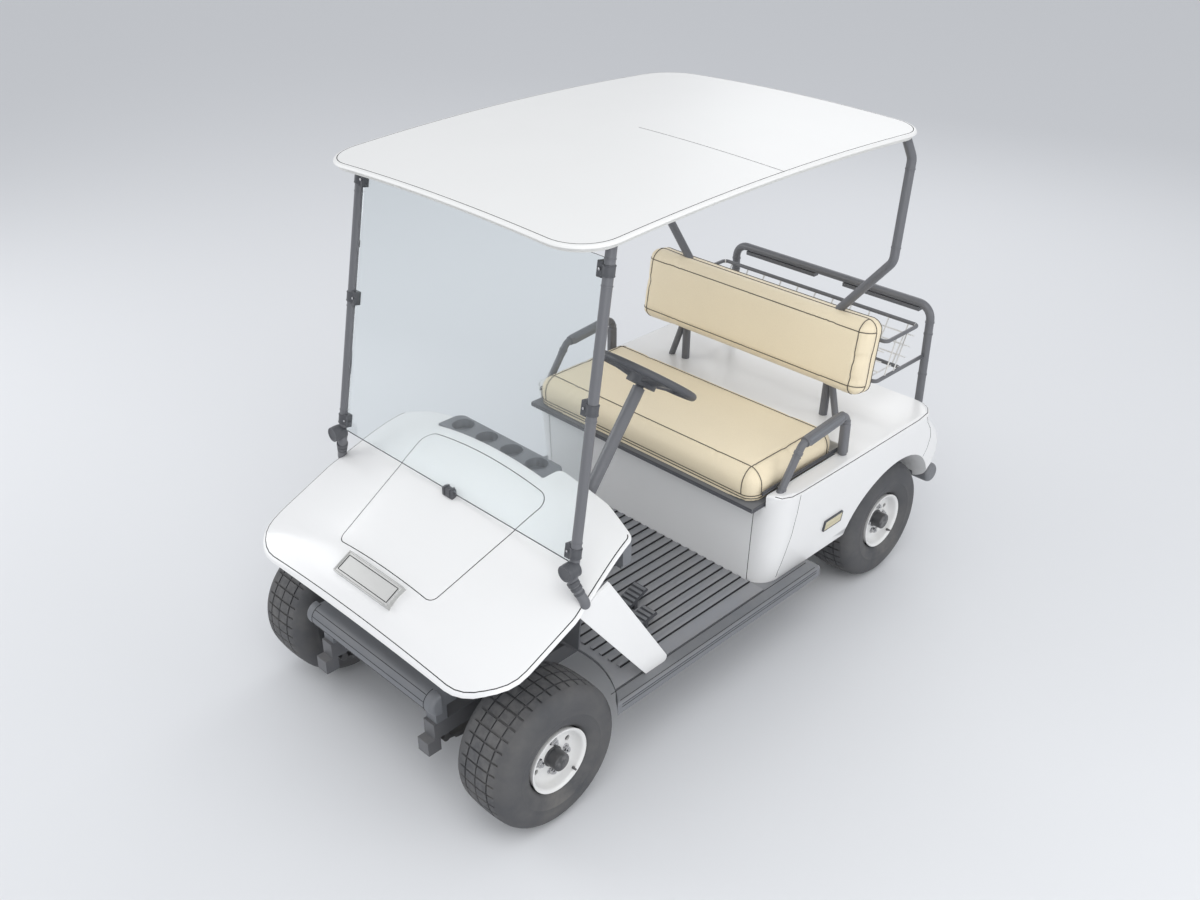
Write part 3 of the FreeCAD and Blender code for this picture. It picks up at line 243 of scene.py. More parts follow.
def dust_group():
    """Mask of settled dust: on faces that look up, and more near the ground."""
    tree, given, mask = new_group("dust", "Mask", Reach=0.6, Amount=0.3)
    height = add(tree, "ShaderNodeSeparateXYZ", {0: place_on(tree)}).outputs["Z"]
    low = maths(tree, "SUBTRACT", 1.0, maths(tree, "DIVIDE", height, given["Reach"]), True)
    normal = add(tree, "ShaderNodeNewGeometry", {}).outputs["Normal"]
    facing = add(tree, "ShaderNodeSeparateXYZ", {0: normal}).outputs["Z"]
    up = stretch(tree, facing, -0.2, 0.9, 0.25, 1.0)
    patches = stretch(tree, clouds(tree, Scale=9.0, Detail=7.0, Roughness=0.62), 0.35, 0.7)
    spread = maths(tree, "MULTIPLY", patches, maths(tree, "MULTIPLY", low, up))
    feed(tree, mask, maths(tree, "MULTIPLY", spread, given["Amount"], True))
    return tree


GROUPS = {tree.name: tree for tree in (grain_group(), tone_group(), edge_group(), dust_group())}


def use(tree, name, **values):
    """Places a shared effect in a material with its own values and gives its output."""
    made = tree.nodes.new("ShaderNodeGroup")
    made.node_tree = GROUPS[name]
    for key, value in values.items():
        made.inputs[key].default_value = value
    return made.outputs[0]


print("effects", sorted(GROUPS))

# %% [markdown]
# ## Hard finishes
# The cart's hard parts are of four kinds: glossy moulded shells, grained plastic, powder-coated
# steel and rubber. They share one recipe: colour with a slow change of tone, rubbed edges and
# dust mixed in, and a bump from the grain. A table holds what differs, which makes it easy to
# compare one finish with the next. Only the tyres and the hub caps show rubbed edges.

# %% Finish recipe
DUST = (0.42, 0.39, 0.34, 1)
DUSTY_ROUGH, COAT_ROUGH, GRAIN_DEEP = 0.9, 0.12, 0.0006


def finish(name, colour, rough, metal=0.0, grain=(500.0, 0.5), bump=0.1, tone=0.06, worn=None,
           dust=0.0, coat=0.0):
    """Material from the shared effects. worn: colour of rubbed edges, or None for no wear."""
    made = new_material(name)
    tree = made.node_tree
    surface = use(tree, "tone", Color=(*colour, 1), Amount=tone)
    if worn:
        surface = blend_colours(tree, use(tree, "edge_wear"), surface, (*worn, 1))
    height = use(tree, "grain", Scale=grain[0], Pits=grain[1])
    if dust:
        settled = use(tree, "dust", Amount=dust)
        surface = blend_colours(tree, settled, surface, DUST)
        roughness = stretch(tree, settled, 0.0, 1.0, rough, DUSTY_ROUGH)
    else:
        roughness = stretch(tree, height, 0.2, 1.2, rough - 0.05, rough + 0.07)
    return shaded(made, Base_Color=surface, Roughness=roughness, Metallic=metal, Coat_Weight=coat,
                  Coat_Roughness=COAT_ROUGH, Normal=raised(tree, height, bump, GRAIN_DEEP))


# Columns: name, colour, roughness and what differs from the recipe.
FINISHES = [
    ("body_white", (0.86, 0.86, 0.855), 0.30,
     dict(grain=(160, 0.15), bump=0.05, tone=0.03, dust=0.10, coat=0.25)),
    ("roof_white", (0.84, 0.84, 0.825), 0.42, dict(grain=(700, 0.6), bump=0.16, tone=0.035)),
    ("frame_steel", (0.125, 0.128, 0.138), 0.45, dict(grain=(900, 0.5), bump=0.15, dust=0.35)),
    ("floor_steel", (0.24, 0.247, 0.262), 0.45, dict(grain=(900, 0.5), bump=0.15, dust=0.3)),
    ("tube_grey", (0.150, 0.153, 0.165), 0.36, dict(grain=(1100, 0.4), bump=0.12, dust=0.1)),
    ("spring_steel", (0.16, 0.16, 0.165), 0.42,
     dict(metal=0.8, grain=(600, 0.6), bump=0.2, dust=0.5)),
    ("wheel_white", (0.80, 0.80, 0.79), 0.28,
     dict(grain=(900, 0.3), bump=0.06, tone=0.04, dust=0.3, coat=0.3)),
    ("tyre", (0.075, 0.077, 0.083), 0.68,
     dict(grain=(450, 0.9), bump=0.35, tone=0.2, worn=(0.13, 0.13, 0.132), dust=0.45)),
    ("mat_rubber", (0.30, 0.308, 0.33), 0.62,
     dict(grain=(800, 0.8), bump=0.3, tone=0.14, dust=0.35)),
    ("dark_plastic", (0.082, 0.085, 0.094), 0.42, dict(grain=(900, 0.8), bump=0.25)),
    ("grey_plastic", (0.175, 0.183, 0.198), 0.46, dict(grain=(800, 0.8), bump=0.25, dust=0.25)),
    ("basket_wire", (0.74, 0.74, 0.73), 0.3, dict(grain=(1200, 0.3), bump=0.05)),
    ("battery_case", (0.03, 0.03, 0.034), 0.5, dict(grain=(700, 0.7), bump=0.2, dust=0.4)),
    ("axle_iron", (0.06, 0.06, 0.064), 0.55, dict(grain=(350, 0.9), bump=0.5, dust=0.5)),
    ("joint_shadow", (0.012, 0.012, 0.013), 0.7, dict(grain=(600, 0.5), bump=0.1)),
    ("seat_piping", (0.10, 0.085, 0.065), 0.5, dict(grain=(900, 0.5), bump=0.15)),
    ("bright_steel", (0.55, 0.55, 0.56), 0.25, dict(metal=1.0, grain=(900, 0.4), bump=0.08)),
    ("hub_dark", (0.04, 0.041, 0.045), 0.32,
     dict(grain=(900, 0.5), bump=0.12, worn=(0.2, 0.2, 0.2), dust=0.2)),
]
MATERIALS = {name: finish(name, colour, rough, **rest) for name, colour, rough, rest in FINISHES}
print("hard finishes", len(MATERIALS))

# %% [markdown]
# ## Seat vinyl, glass, plate and reflector
# Four finishes need something of their own. Seat vinyl is a soft coated cloth, with a
# leather-like grain made from cracks between cells. The pane is real glass, so it stays a plain
# transmission shader. The blank plate is brushed along its length, and the reflector has a grid
# of small prisms.

# %% Seat vinyl
def seat_vinyl():
    """Cream coated cloth: grain of small cells with painted shade in the creases between them, soft
    sheen.
    """
    made = new_material("seat_vinyl")
    tree = made.node_tree
    place = place_on(tree)
    warp = add(tree, "ShaderNodeTexNoise", {"Vector": place, "Scale": 120.0, "Detail": 2.0})
    bent = add(tree, "ShaderNodeVectorMath", {0: warp.outputs["Color"], 1: (0.004, 0.004, 0.004)},
               operation="MULTIPLY").outputs[0]
    moved = add(tree, "ShaderNodeVectorMath", {0: place, 1: bent}, operation="ADD").outputs[0]
    cells = add(tree, "ShaderNodeTexVoronoi", {"Vector": moved, "Scale": 420.0},
                feature="DISTANCE_TO_EDGE").outputs["Distance"]
    creases = stretch(tree, cells, 0.0, 0.22)
    fold = clouds(tree, Scale=26.0, Detail=4.0, Distortion=0.6)
    height = maths(tree, "ADD", creases, maths(tree, "MULTIPLY", fold, 0.6))
    toned = use(tree, "tone", Color=(0.95, 0.83, 0.605, 1), Scale=4.0, Amount=0.09)
    # The colour darkens towards the creases: painted shade in the grain.
    deep = maths(tree, "MULTIPLY", maths(tree, "SUBTRACT", 1.0, creases), 0.22)
    return shaded(made, Base_Color=blend_colours(tree, deep, toned, (0.70, 0.58, 0.39, 1)),
                  Roughness=stretch(tree, height, 0.0, 1.6, 0.56, 0.40), Sheen_Weight=0.12,
                  Normal=raised(tree, height, 0.28, 0.0007))


MATERIALS["seat_vinyl"] = seat_vinyl()
print("vinyl nodes", len(MATERIALS["seat_vinyl"].node_tree.nodes))


# %% Pane, plate and reflector
def window_glass():
    """Clear pane with a faint haze."""
    made = new_material("windshield")
    tree = made.node_tree
    haze = stretch(tree, clouds(tree, Scale=7.0, Detail=6.0), 0.45, 0.8, 0.015, 0.06)
    return shaded(made, Base_Color=(0.905, 0.945, 0.955, 1), Roughness=haze,
                  Transmission_Weight=1.0, IOR=1.45)


def blank_plate():
    """Satin aluminium brushed along the cart's width."""
    made = new_material("nameplate")
    tree = made.node_tree
    long_way = add(tree, "ShaderNodeMapping", {"Vector": place_on(tree), "Scale": (12.0, 900.0, 900.0)})
    lines = clouds(tree, Vector=long_way.outputs[0], Scale=1.0, Detail=3.0)
    toned = use(tree, "tone", Color=(0.60, 0.60, 0.585, 1), Scale=14.0, Amount=0.12)
    return shaded(made, Base_Color=toned, Roughness=stretch(tree, lines, 0.3, 0.7, 0.30, 0.44),
                  Metallic=0.85, Normal=raised(tree, lines, 0.12, 0.0003))


def reflector():
    """Pale amber lens over a grid of prisms."""
    made = new_material("marker")
    tree = made.node_tree
    grid = {"Vector": place_on(tree), "Scale": 260.0, "Randomness": 0.0}
    prisms = add(tree, "ShaderNodeTexVoronoi", grid, feature="F1", distance="CHEBYCHEV")
    prisms = prisms.outputs["Distance"]
    amount = stretch(tree, prisms, 0.1, 0.6)
    amber = blend_colours(tree, amount, (0.74, 0.68, 0.46, 1), (0.50, 0.43, 0.24, 1))
    return shaded(made, Base_Color=amber, Roughness=0.22, Coat_Weight=0.6,
                  Normal=raised(tree, prisms, 0.5, 0.001))


for made in (window_glass(), blank_plate(), reflector()):
    MATERIALS[made.name] = made
print("finishes", len(MATERIALS))

# %% [markdown]
# ## Finishes on the CAD nodes
# The record says which finish each CAD node has. A node whose shape is already right keeps its
# mesh and only gets its material here; the others are replaced by finer pieces further down.
# A clear pane casts next to no shadow, so the windshield's is switched off.

# %% Dress the CAD nodes
for row in frame["record"]["subparts"]:
    mesh = nodes[row["node"]].data
    mesh.materials.clear()
    mesh.materials.append(MATERIALS[row["material_slot"]])
nodes["windshield"].visible_shadow = False

# %% [markdown]
# ## Working by hand, in code
# Blender's tools act on whatever is selected. These few helpers do what a hand does between
# tools: let everything go, take one object, pick its faces or edges by place, and merge what
# lies together.

# %% Hand helpers
def let_go():
    """Back to object mode with nothing selected."""
    if bpy.context.object and bpy.context.object.mode != "OBJECT":
        bpy.ops.object.mode_set(mode="OBJECT")
    bpy.ops.object.select_all(action="DESELECT")


def take(*objects):
    """Selects these objects; the first is the active one."""
    let_go()
    for obj in objects:
        obj.select_set(True)
    bpy.context.view_layer.objects.active = objects[0]
    return objects[0]


def pick(obj, kind, test=lambda part: True):
    """Edit mode with only the VERT, EDGE or FACE parts that pass the test selected."""
    take(obj)
    bpy.ops.object.mode_set(mode="EDIT")
    bpy.ops.mesh.select_mode(type=kind)
    bpy.ops.mesh.select_all(action="DESELECT")
    work = bmesh.from_edit_mesh(obj.data)
    for part in {"VERT": work.verts, "EDGE": work.edges, "FACE": work.faces}[kind]:
        if test(part):
            part.select_set(True)
    work.select_flush_mode()
    bmesh.update_edit_mesh(obj.data)


def merged(obj, reach=0.00001, outward=False):
    """Merges points within reach of one another; outward also turns every face outward."""
    pick(obj, "VERT")
    bpy.ops.mesh.remove_doubles(threshold=reach)
    if outward:
        bpy.ops.mesh.normals_make_consistent(inside=False)
    let_go()
    return obj


def set_in(obj):
    """Puts the object's place, turn and scale into its mesh."""
    take(obj)
    bpy.ops.object.transform_apply(location=True, rotation=True, scale=True)
    return obj


print("hand helpers ready")


# %% Blocks, bars and modifiers
def modify(obj, kind, **settings):
    """Adds a modifier, sets it and applies it."""
    take(obj)
    modifier = obj.modifiers.new(kind.title(), kind)
    for key, value in settings.items():
        setattr(modifier, key, value)
    bpy.ops.object.modifier_apply(modifier=modifier.name)
    return obj


def soften(obj, width, segments=2):
    """Bevels the sharp edges."""
    return modify(obj, "BEVEL", width=width, segments=segments, limit_method="ANGLE",
                  angle_limit=math.radians(40), harden_normals=False)


def block(low, high):
    """Cube primitive between two corners."""
    low, high = Vector(low), Vector(high)
    let_go()
    bpy.ops.mesh.primitive_cube_add(size=1, location=(low + high) / 2)
    made = bpy.context.object
    made.scale = high - low
    return set_in(made)


def soft_block(low, high, edge, segments=2):
    """Block with bevelled edges."""
    return soften(block(low, high), edge, segments)


def round_bar(start, end, radius, sides=32):
    """Cylinder primitive from one point to another."""
    start, end = Vector(start), Vector(end)
    let_go()
    bpy.ops.mesh.primitive_cylinder_add(vertices=sides, radius=radius, depth=(end - start).length,
                                        location=(start + end) / 2)
    made = bpy.context.object
    made.rotation_euler = (end - start).to_track_quat("Z", "Y").to_euler()
    return set_in(made)


def soft_bar(start, end, radius, sides, edge, segments=2):
    """Cylinder with bevelled ends."""
    return soften(round_bar(start, end, radius, sides), edge, segments)


print("block and bar helpers ready")

# %% [markdown]
# ## Copies and finished pieces
# What repeats is modelled once and copied, each copy with its own mesh. A finished piece sits
# at the origin with its place in its mesh, has its finish, and rides on the body that carries
# it. Faces may carry a second material, such as the painted shade in a groove.

# %% Piece helpers
MIRROR = Matrix.Scale(-1, 4, (1, 0, 0))


def joined(parts):
    """Joins several objects into the first."""
    made = take(*parts)
    if len(parts) > 1:
        bpy.ops.object.join()
    return made


def turned(obj, matrix):
    """Moves the mesh itself by a matrix."""
    obj.data.transform(matrix)
    return obj


def copied(obj, matrix=MIRROR):
    """A copy with its own mesh, moved by a matrix; a mirrored one has its faces turned back."""
    twin = obj.copy()
    twin.data = obj.data.copy()
    bpy.context.collection.objects.link(twin)
    turned(twin, matrix)
    if matrix.determinant() < 0:
        twin.data.flip_normals()
    return twin


def piece(obj, name, body, slot, material=None, stands_for=(), angle=35.0):
    """Finished piece: named, dressed, smooth up to an angle, riding on its body."""
    set_in(obj)
    if angle:
        bpy.ops.object.shade_smooth_by_angle(angle=math.radians(angle))
    obj.name = name
    obj.data.name = name
    obj.data.materials.clear()
    obj.data.materials.append(MATERIALS[material or slot])
    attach(obj, body)
    if stands_for:
        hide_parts(*stands_for)
    return obj


def both_sides(parts, name, body, slot, material=None, stands_for=()):
    """Joins left-hand parts, adds their mirror image and finishes the pair."""
    left = joined(parts)
    return piece(joined([left, copied(left)]), name, body, slot, material, stands_for)


def second_finish(obj, marked, name):
    """Gives the marked faces another finish than the rest."""
    obj.data.materials.append(MATERIALS[name])
    for face, other in zip(obj.data.polygons, marked):
        face.material_index = int(other)


print("piece helpers ready")

# %% [markdown]
# ## Lines on a surface
# Seams, panel lines and thin trim all follow a surface. Each is drawn as a few corners first,
# then cut into even steps, moved to the nearest spot of the surface, and swept with a round
# section, so a line never floats or sinks where the shape is curved.

# %% Line helpers
def path_tube(points, radius, closed=False, sides=3):
    """Tube along straight runs between points: a curve object made a mesh."""
    let_go()
    bpy.ops.curve.primitive_nurbs_path_add()
    route = bpy.context.object
    route.data.splines.clear()
    line = route.data.splines.new("POLY")
    line.points.add(len(points) - 1)
    for place, target in zip(line.points, points):
        place.co = (*target, 1)
    line.use_cyclic_u = closed
    route.data.bevel_depth = radius
    route.data.bevel_resolution = sides
    route.data.use_fill_caps = not closed
    take(route)
    bpy.ops.object.convert(target="MESH")
    return bpy.context.object


def surface_of(obj):
    """Search tree over the faces of a mesh, for laying things on them."""
    return BVHTree.FromPolygons([vertex.co.copy() for vertex in obj.data.vertices],
                                [list(face.vertices) for face in obj.data.polygons])


def laid_on(tree, points, lift=0.0):
    """Moves each point to the nearest spot of a surface, then out by the lift."""
    out = []
    for target in points:
        spot, normal, _, _ = tree.find_nearest(Vector(target))
        out.append(spot + normal * lift)
    return out


def along_line(corners, step=0.010, closed=False):
    """Points at an even step along straight runs."""
    corners = [Vector(corner) for corner in corners]
    ends = corners[1:] + (corners[:1] if closed else [])
    out = []
    for first, last in zip(corners, ends):
        count = max(1, round((last - first).length / step))
        out += [first.lerp(last, i / count) for i in range(count)]
    return out if closed else out + [corners[-1]]


def rounded(corners, radius, steps=8):
    """Closed outline with each corner turned on an arc; radius: one for all, or a list."""
    out, count = [], len(corners)
    for index, corner in enumerate(corners):
        here = Vector(corner)
        back = (Vector(corners[index - 1]) - here).normalized()
        ahead = (Vector(corners[(index + 1) % count]) - here).normalized()
        half = back.angle(ahead) / 2
        turn = radius[index] if isinstance(radius, list) else radius
        reach = turn / math.tan(half)
        centre = here + (back + ahead).normalized() * (turn / math.sin(half))
        first, last = here + back * reach - centre, here + ahead * reach - centre
        out += [centre + first.slerp(last, step / steps) * turn for step in range(steps + 1)]
    return out


print("line helpers ready")

# %% [markdown]
# ## Tyres
# A turf tyre has a round shoulder, a smooth side and shallow blocks, so that it doesn't mark the
# grass. The same short stretch of tread repeats all the way round. So one stretch, with its
# cross groove and three ring grooves, is shaped from a grid, then copied round the axle and
# merged into a closed tyre. That keeps the blocks real geometry at little cost.

# %% Tyre section
tyre_low, tyre_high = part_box("tyre_front_left")
tyre_radius = (tyre_high[2] - tyre_low[2]) / 2
axle_y = (tyre_low[1] + tyre_high[1]) / 2
STRETCHES, GROOVE_DEEP = 40, 0.0055
TREAD_HALF, GROOVED_HALF = 0.0706, 0.0700
CROWN_HALF, CROWN_DROP = 0.063, 0.0036
# Columns: distance from the tyre's middle, drop from the full radius.
SIDE = [(0.0835, 0.1240), (0.0900, 0.1185), (0.0955, 0.1120), (0.1010, 0.1000), (0.1045, 0.0850),
        (0.1058, 0.0800), (0.1066, 0.0785), (0.1066, 0.0765), (0.1060, 0.0750), (0.1066, 0.0620),
        (0.1060, 0.0470), (0.1025, 0.0330), (0.0960, 0.0210), (0.0870, 0.0125), (0.0785, 0.0078),
        (0.0720, 0.0052), (0.0705, 0.0049), (0.0630, 0.0036)]
# Columns: middle of a ring groove, half its width.
RING_GROOVES = [(0.0440, 0.0030), (0.0, 0.0022), (-0.0440, 0.0030)]
BETWEEN_RINGS = 0.022


def crown(x):
    """Drop of the tread from the full radius across the tyre."""
    return CROWN_DROP * (x / CROWN_HALF) ** 2


profile = [(x, drop, abs(x) < TREAD_HALF) for x, drop in SIDE]
for middle, half in RING_GROOVES:
    for share, deep in ((1, 0), (0.8, 1), (-0.8, 1), (-1, 0)):
        x = middle + half * share
        profile.append((x, crown(x) + deep * GROOVE_DEEP, True))
    if middle > RING_GROOVES[-1][0]:
        x = middle - BETWEEN_RINGS
        profile.append((x, crown(x), True))
profile += [(-x, drop, abs(x) < TREAD_HALF) for x, drop in reversed(SIDE)]
print("tyre radius", round(tyre_radius, 4), "points across", len(profile))

# %% One stretch of tyre, copied round
# Columns: share of the stretch, whether the tread is cut down there.
CUTS = [(0.0, 0), (0.02, 1), (0.16, 1), (0.18, 0), (0.45, 0), (0.72, 0), (1.0, 0)]
turn = 2 * math.pi / STRETCHES
columns = len(profile)

let_go()
bpy.ops.mesh.primitive_grid_add(x_subdivisions=columns - 1, y_subdivisions=len(CUTS) - 1, size=1)
stretch_of_tyre = bpy.context.object
for index, vertex in enumerate(stretch_of_tyre.data.vertices):
    x, drop, tread = profile[index % columns]
    share, cut_down = CUTS[index // columns]
    if cut_down and tread and abs(x) < GROOVED_HALF:
        drop = max(drop, crown(x) + GROOVE_DEEP)
    radius = tyre_radius - drop
    vertex.co = (x, -radius * math.sin(share * turn), radius * math.cos(share * turn))
tyre = joined([copied(stretch_of_tyre, Matrix.Rotation(i * turn, 4, "X")) for i in range(STRETCHES)])
bpy.data.objects.remove(stretch_of_tyre)
merged(tyre, 0.00005)
pick(tyre, "VERT", lambda part: False)
bpy.ops.mesh.select_non_manifold()
bpy.ops.mesh.bridge_edge_loops()
bpy.ops.mesh.select_all(action="SELECT")
bpy.ops.mesh.normals_make_consistent(inside=False)
let_go()
print("tyre faces", len(tyre.data.polygons))

# %% [markdown]
# ## Wheels
# An 8-inch steel wheel is pressed from sheet: a flange that holds the bead, a well, and a set-back
# disc with round holes between its four studs. A profile spun about the axle gives the sheet,
# a boolean opens the holes, and the nuts, the dark hub and the valve are modelled once.

# %% Wheel disc and rim
# Columns: distance from the tyre's middle, radius.
RIM = [(0.0945, 0.1036), (0.0975, 0.1030), (0.0985, 0.1008), (0.0975, 0.0985), (0.0945, 0.0945),
       (0.0925, 0.0925), (0.0885, 0.0912), (0.0800, 0.0898), (0.0700, 0.0868), (0.0645, 0.0822),
       (0.0625, 0.0765), (0.0622, 0.0560), (0.0650, 0.0430), (0.0662, 0.0400), (0.0662, 0.0130),
       (0.0560, 0.0130), (0.0560, 0.0400), (0.0560, 0.0780), (0.0580, 0.0850), (0.0620, 0.0878),
       (-0.0880, 0.0878), (-0.0945, 0.0945), (-0.0975, 0.1000), (-0.0965, 0.1030),
       (-0.0945, 0.1036), (-0.0800, 0.0990), (0.0800, 0.0990)]
STUDS, STUD_CIRCLE, HOLE_CIRCLE, HOLE_RADIUS = 4, 0.0508, 0.066, 0.0088


def spun_profile(points, steps=72):
    """Closed profile in x and radius, spun about the X axis."""
    let_go()
    bpy.ops.mesh.primitive_circle_add(vertices=len(points), radius=0.1)
    made = bpy.context.object
    for vertex, (x, radius) in zip(made.data.vertices, points):
        vertex.co = (x, 0, radius)
    pick(made, "VERT")
    bpy.ops.mesh.spin(steps=steps, angle=2 * math.pi, center=(0, 0, 0), axis=(1, 0, 0))
    return merged(made, 0.00005, outward=True)


def about_axle(obj, count, start):
    """Copies round the axle from a start in degrees; the original is used up."""
    turns = [math.radians(start) + i * 2 * math.pi / count for i in range(count)]
    copies = [copied(obj, Matrix.Rotation(turn, 4, "X")) for turn in turns]
    bpy.data.objects.remove(obj)
    return joined(copies)


rim = spun_profile(RIM)
holes = about_axle(round_bar((0.05, 0, HOLE_CIRCLE), (0.075, 0, HOLE_CIRCLE), HOLE_RADIUS), STUDS, 22)
modify(rim, "BOOLEAN", object=holes, operation="DIFFERENCE", solver="EXACT")
bpy.data.objects.remove(holes)
print("wheel faces", len(rim.data.polygons))

# %% Nuts, hub and valve
# Columns: inner end, outer end, radius, sides, bevelled edge: the nut, its seat and the stud.
NUT_PARTS = [(0.0625, 0.0765, 0.0108, 6, 0.0012), (0.0615, 0.0655, 0.0145, 28, 0.001),
             (0.0700, 0.0820, 0.0055, 16, 0.0008)]
HUB_CAP = [(0.0560, 0.0010), (0.0560, 0.0330), (0.0680, 0.0330), (0.0705, 0.0315), (0.0715, 0.0290),
           (0.1020, 0.0285), (0.1050, 0.0275), (0.1062, 0.0250), (0.1062, 0.0010)]
nut = joined([soft_bar((inner, 0, STUD_CIRCLE), (outer, 0, STUD_CIRCLE), radius, sides, edge)
              for inner, outer, radius, sides, edge in NUT_PARTS])
nuts = about_axle(nut, STUDS, -6)
hub_cap = spun_profile(HUB_CAP, 40)
valve = joined([round_bar((0.0880, 0, 0.0860), (0.0925, 0, 0.0905), 0.0045, 16),
                round_bar((0.0900, 0, 0.0870), (0.1040, 0, 0.0840), 0.0032, 16)])
turned(valve, Matrix.Rotation(math.radians(-140), 4, "X"))
print("hub parts", len(nuts.data.polygons), len(hub_cap.data.polygons), len(valve.data.polygons))

# %% Four corners
CORNERS = [("front_left", 1), ("front_right", -1), ("rear_left", 1), ("rear_right", -1)]
for corner, side in CORNERS:
    low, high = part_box("tyre_" + corner)
    seat_it = Matrix.Translation((low + high) / 2) @ (Matrix.Identity(4) if side > 0 else MIRROR)
    body = corner + "_wheel"
    piece(copied(tyre, seat_it), "turf_tyre_" + corner, body, "tyre",
          stands_for=["tyre_" + corner], angle=42)
    piece(copied(rim, seat_it), "steel_wheel_" + corner, body, "wheel_white",
          stands_for=["wheel_" + corner])
    piece(copied(nuts, seat_it), "wheel_nuts_" + corner, body, "wheel_white", "bright_steel")
    piece(copied(hub_cap, seat_it), "hub_cap_" + corner, body, "wheel_white", "hub_dark")
    piece(copied(valve, seat_it), "valve_" + corner, body, "tyre")
for used in (tyre, rim, nuts, hub_cap, valve):
    bpy.data.objects.remove(used)
print("wheels dressed", len(CORNERS))

# %% [markdown]
# ## Moulded shells
# The front cowl and the roof are thin mouldings with a turned-down rim. Both are made the same
# way: the outline in plan is filled, inset to get rows of faces that follow the rim, cut into
# a net, then every point is lifted onto the shell's curved surface, and Solidify gives the wall.
# A formula for the surface keeps the whole shell smooth, which pushing faces about wouldn't.

# %% Net of a shell
OFF_THE_POINTS = 0.00013


def plan_sheet(outline, insets, step):
    """Flat net of faces inside an outline, with rows at the insets from its rim."""
    let_go()
    bpy.ops.mesh.primitive_circle_add(vertices=len(outline), radius=1, fill_type="NGON")
    sheet = bpy.context.object
    for vertex, target in zip(sheet.data.vertices, outline):
        vertex.co = (target[0], target[1], 0)
    pick(sheet, "FACE")
    for width in insets:
        bpy.ops.mesh.inset(thickness=width, use_boundary=True)
    for axis, normal in ((0, (1, 0, 0)), (1, (0, 1, 0))):
        low = min(target[axis] for target in outline)
        span = max(target[axis] for target in outline) - low
        count = round(span / step)
        for index in range(1, count):
            spot = [0, 0, 0]
            spot[axis] = low + span * index / count + OFF_THE_POINTS
            bpy.ops.mesh.select_all(action="SELECT")
            bpy.ops.mesh.bisect(plane_co=spot, plane_no=normal)
    let_go()
    return sheet


def rim_distance(outline, x, y):
    """Distance in plan from the nearest side of an outline."""
    best = math.inf
    for (ax, ay, _), (bx, by, _) in zip(outline, outline[1:] + outline[:1]):
        dx, dy = bx - ax, by - ay
        share = ((x - ax) * dx + (y - ay) * dy) / (dx * dx + dy * dy + 1e-12)
        share = max(0.0, min(1.0, share))
        best = min(best, math.hypot(x - ax - share * dx, y - ay - share * dy))
    return best


def lifted(sheet, outline, height, rim_turn):
    """Lifts a flat net onto a surface; its outermost rows turn down like a rolled rim."""
    for vertex in sheet.data.vertices:
        x, y = vertex.co.x, vertex.co.y
        over = max(0.0, 1.0 - rim_distance(outline, x, y) / rim_turn)
        vertex.co.z = height(x, y) - rim_turn * (1 - math.sqrt(max(0.0, 1 - over ** 2)))
    pick(sheet, "FACE")
    if sum(face.normal.z for face in bmesh.from_edit_mesh(sheet.data).faces) < 0:
        bpy.ops.mesh.flip_normals()
    let_go()


def walled(sheet, wall):
    """Gives a sheet its wall, on the inside."""
    return modify(sheet, "SOLIDIFY", thickness=wall, offset=-1, use_even_offset=False)


print("net helpers ready")

# %% [markdown]
# ## Engraved lines
# A panel joint or a moulded line is a narrow groove that lies in shadow. It could be painted,
# but then it would be lost in the mesh. So it is engraved: a thin tube laid on the surface is
# taken away by a boolean, and the tube's near-black material stays in the groove as painted shade.

# %% Engraving helpers
def engraved(obj, lines, radius):
    """Takes thin tubes away from a shell and leaves painted shade in the grooves."""
    obj.data.materials.clear()
    obj.data.materials.append(MATERIALS["body_white"])
    for points, closed in lines:
        groove = path_tube(points, radius, closed, sides=1)
        groove.data.materials.clear()
        groove.data.materials.append(MATERIALS["joint_shadow"])
        merged(groove, outward=True)
        modify(obj, "BOOLEAN", object=groove, operation="DIFFERENCE", solver="EXACT",
               material_mode="TRANSFER")
        bpy.data.objects.remove(groove)


def shell_piece(obj, name, slot, stands_for):
    """Finished shell: its own finish outside, painted shade in its engraved lines."""
    finishes = [material.name for material in obj.data.materials]
    dark = [finishes[face.material_index] == "joint_shadow" for face in obj.data.polygons]
    piece(obj, name, "chassis", slot, stands_for=stands_for)
    second_finish(obj, dark, "joint_shadow")
    print(name, "faces", len(dark), "of which in grooves", sum(dark))


def inside_rim(outline, inset):
    """Points at an even step along an outline, moved in from it."""
    spots = along_line(outline, closed=True)
    area = sum(a.x * b.y - b.x * a.y for a, b in zip(spots, spots[1:] + spots[:1]))
    reach = math.copysign(inset, area)
    out = []
    for index, spot in enumerate(spots):
        ahead = (spots[(index + 1) % len(spots)] - spots[index - 1]).normalized()
        out.append(spot + Vector((-ahead.y, ahead.x, 0)) * reach)
    return out


def on_top(tree, points, height):
    """Lays points in plan on a shell whose top is given by a height."""
    return laid_on(tree, [(p[0], p[1], height(p[0], p[1])) for p in points])


print("engraving helpers ready")

# %% [markdown]
# ## Front cowl
# The cowl is one broad moulding: it drops steeply at the nose, runs up flat under the hood line,
# and arches across so that its sides come down over the wheels. Two curves give it: the height
# along the middle, and how far the sides drop. Its plan has a notch at the back for the tray.

# %% Shape of the cowl
COWL_HALF, COWL_WALL, COWL_RIM = 0.600, 0.016, 0.006
# Columns: y from the front axle, height in the middle, drop at the side.
COWL_ROWS = [(-0.262, 0.545, 0.008), (-0.235, 0.585, 0.045), (-0.195, 0.640, 0.085),
             (-0.120, 0.674, 0.093), (0.110, 0.789, 0.110), (0.273, 0.869, 0.131),
             (0.400, 0.876, 0.105)]
cowl_ys = [row[0] for row in COWL_ROWS]


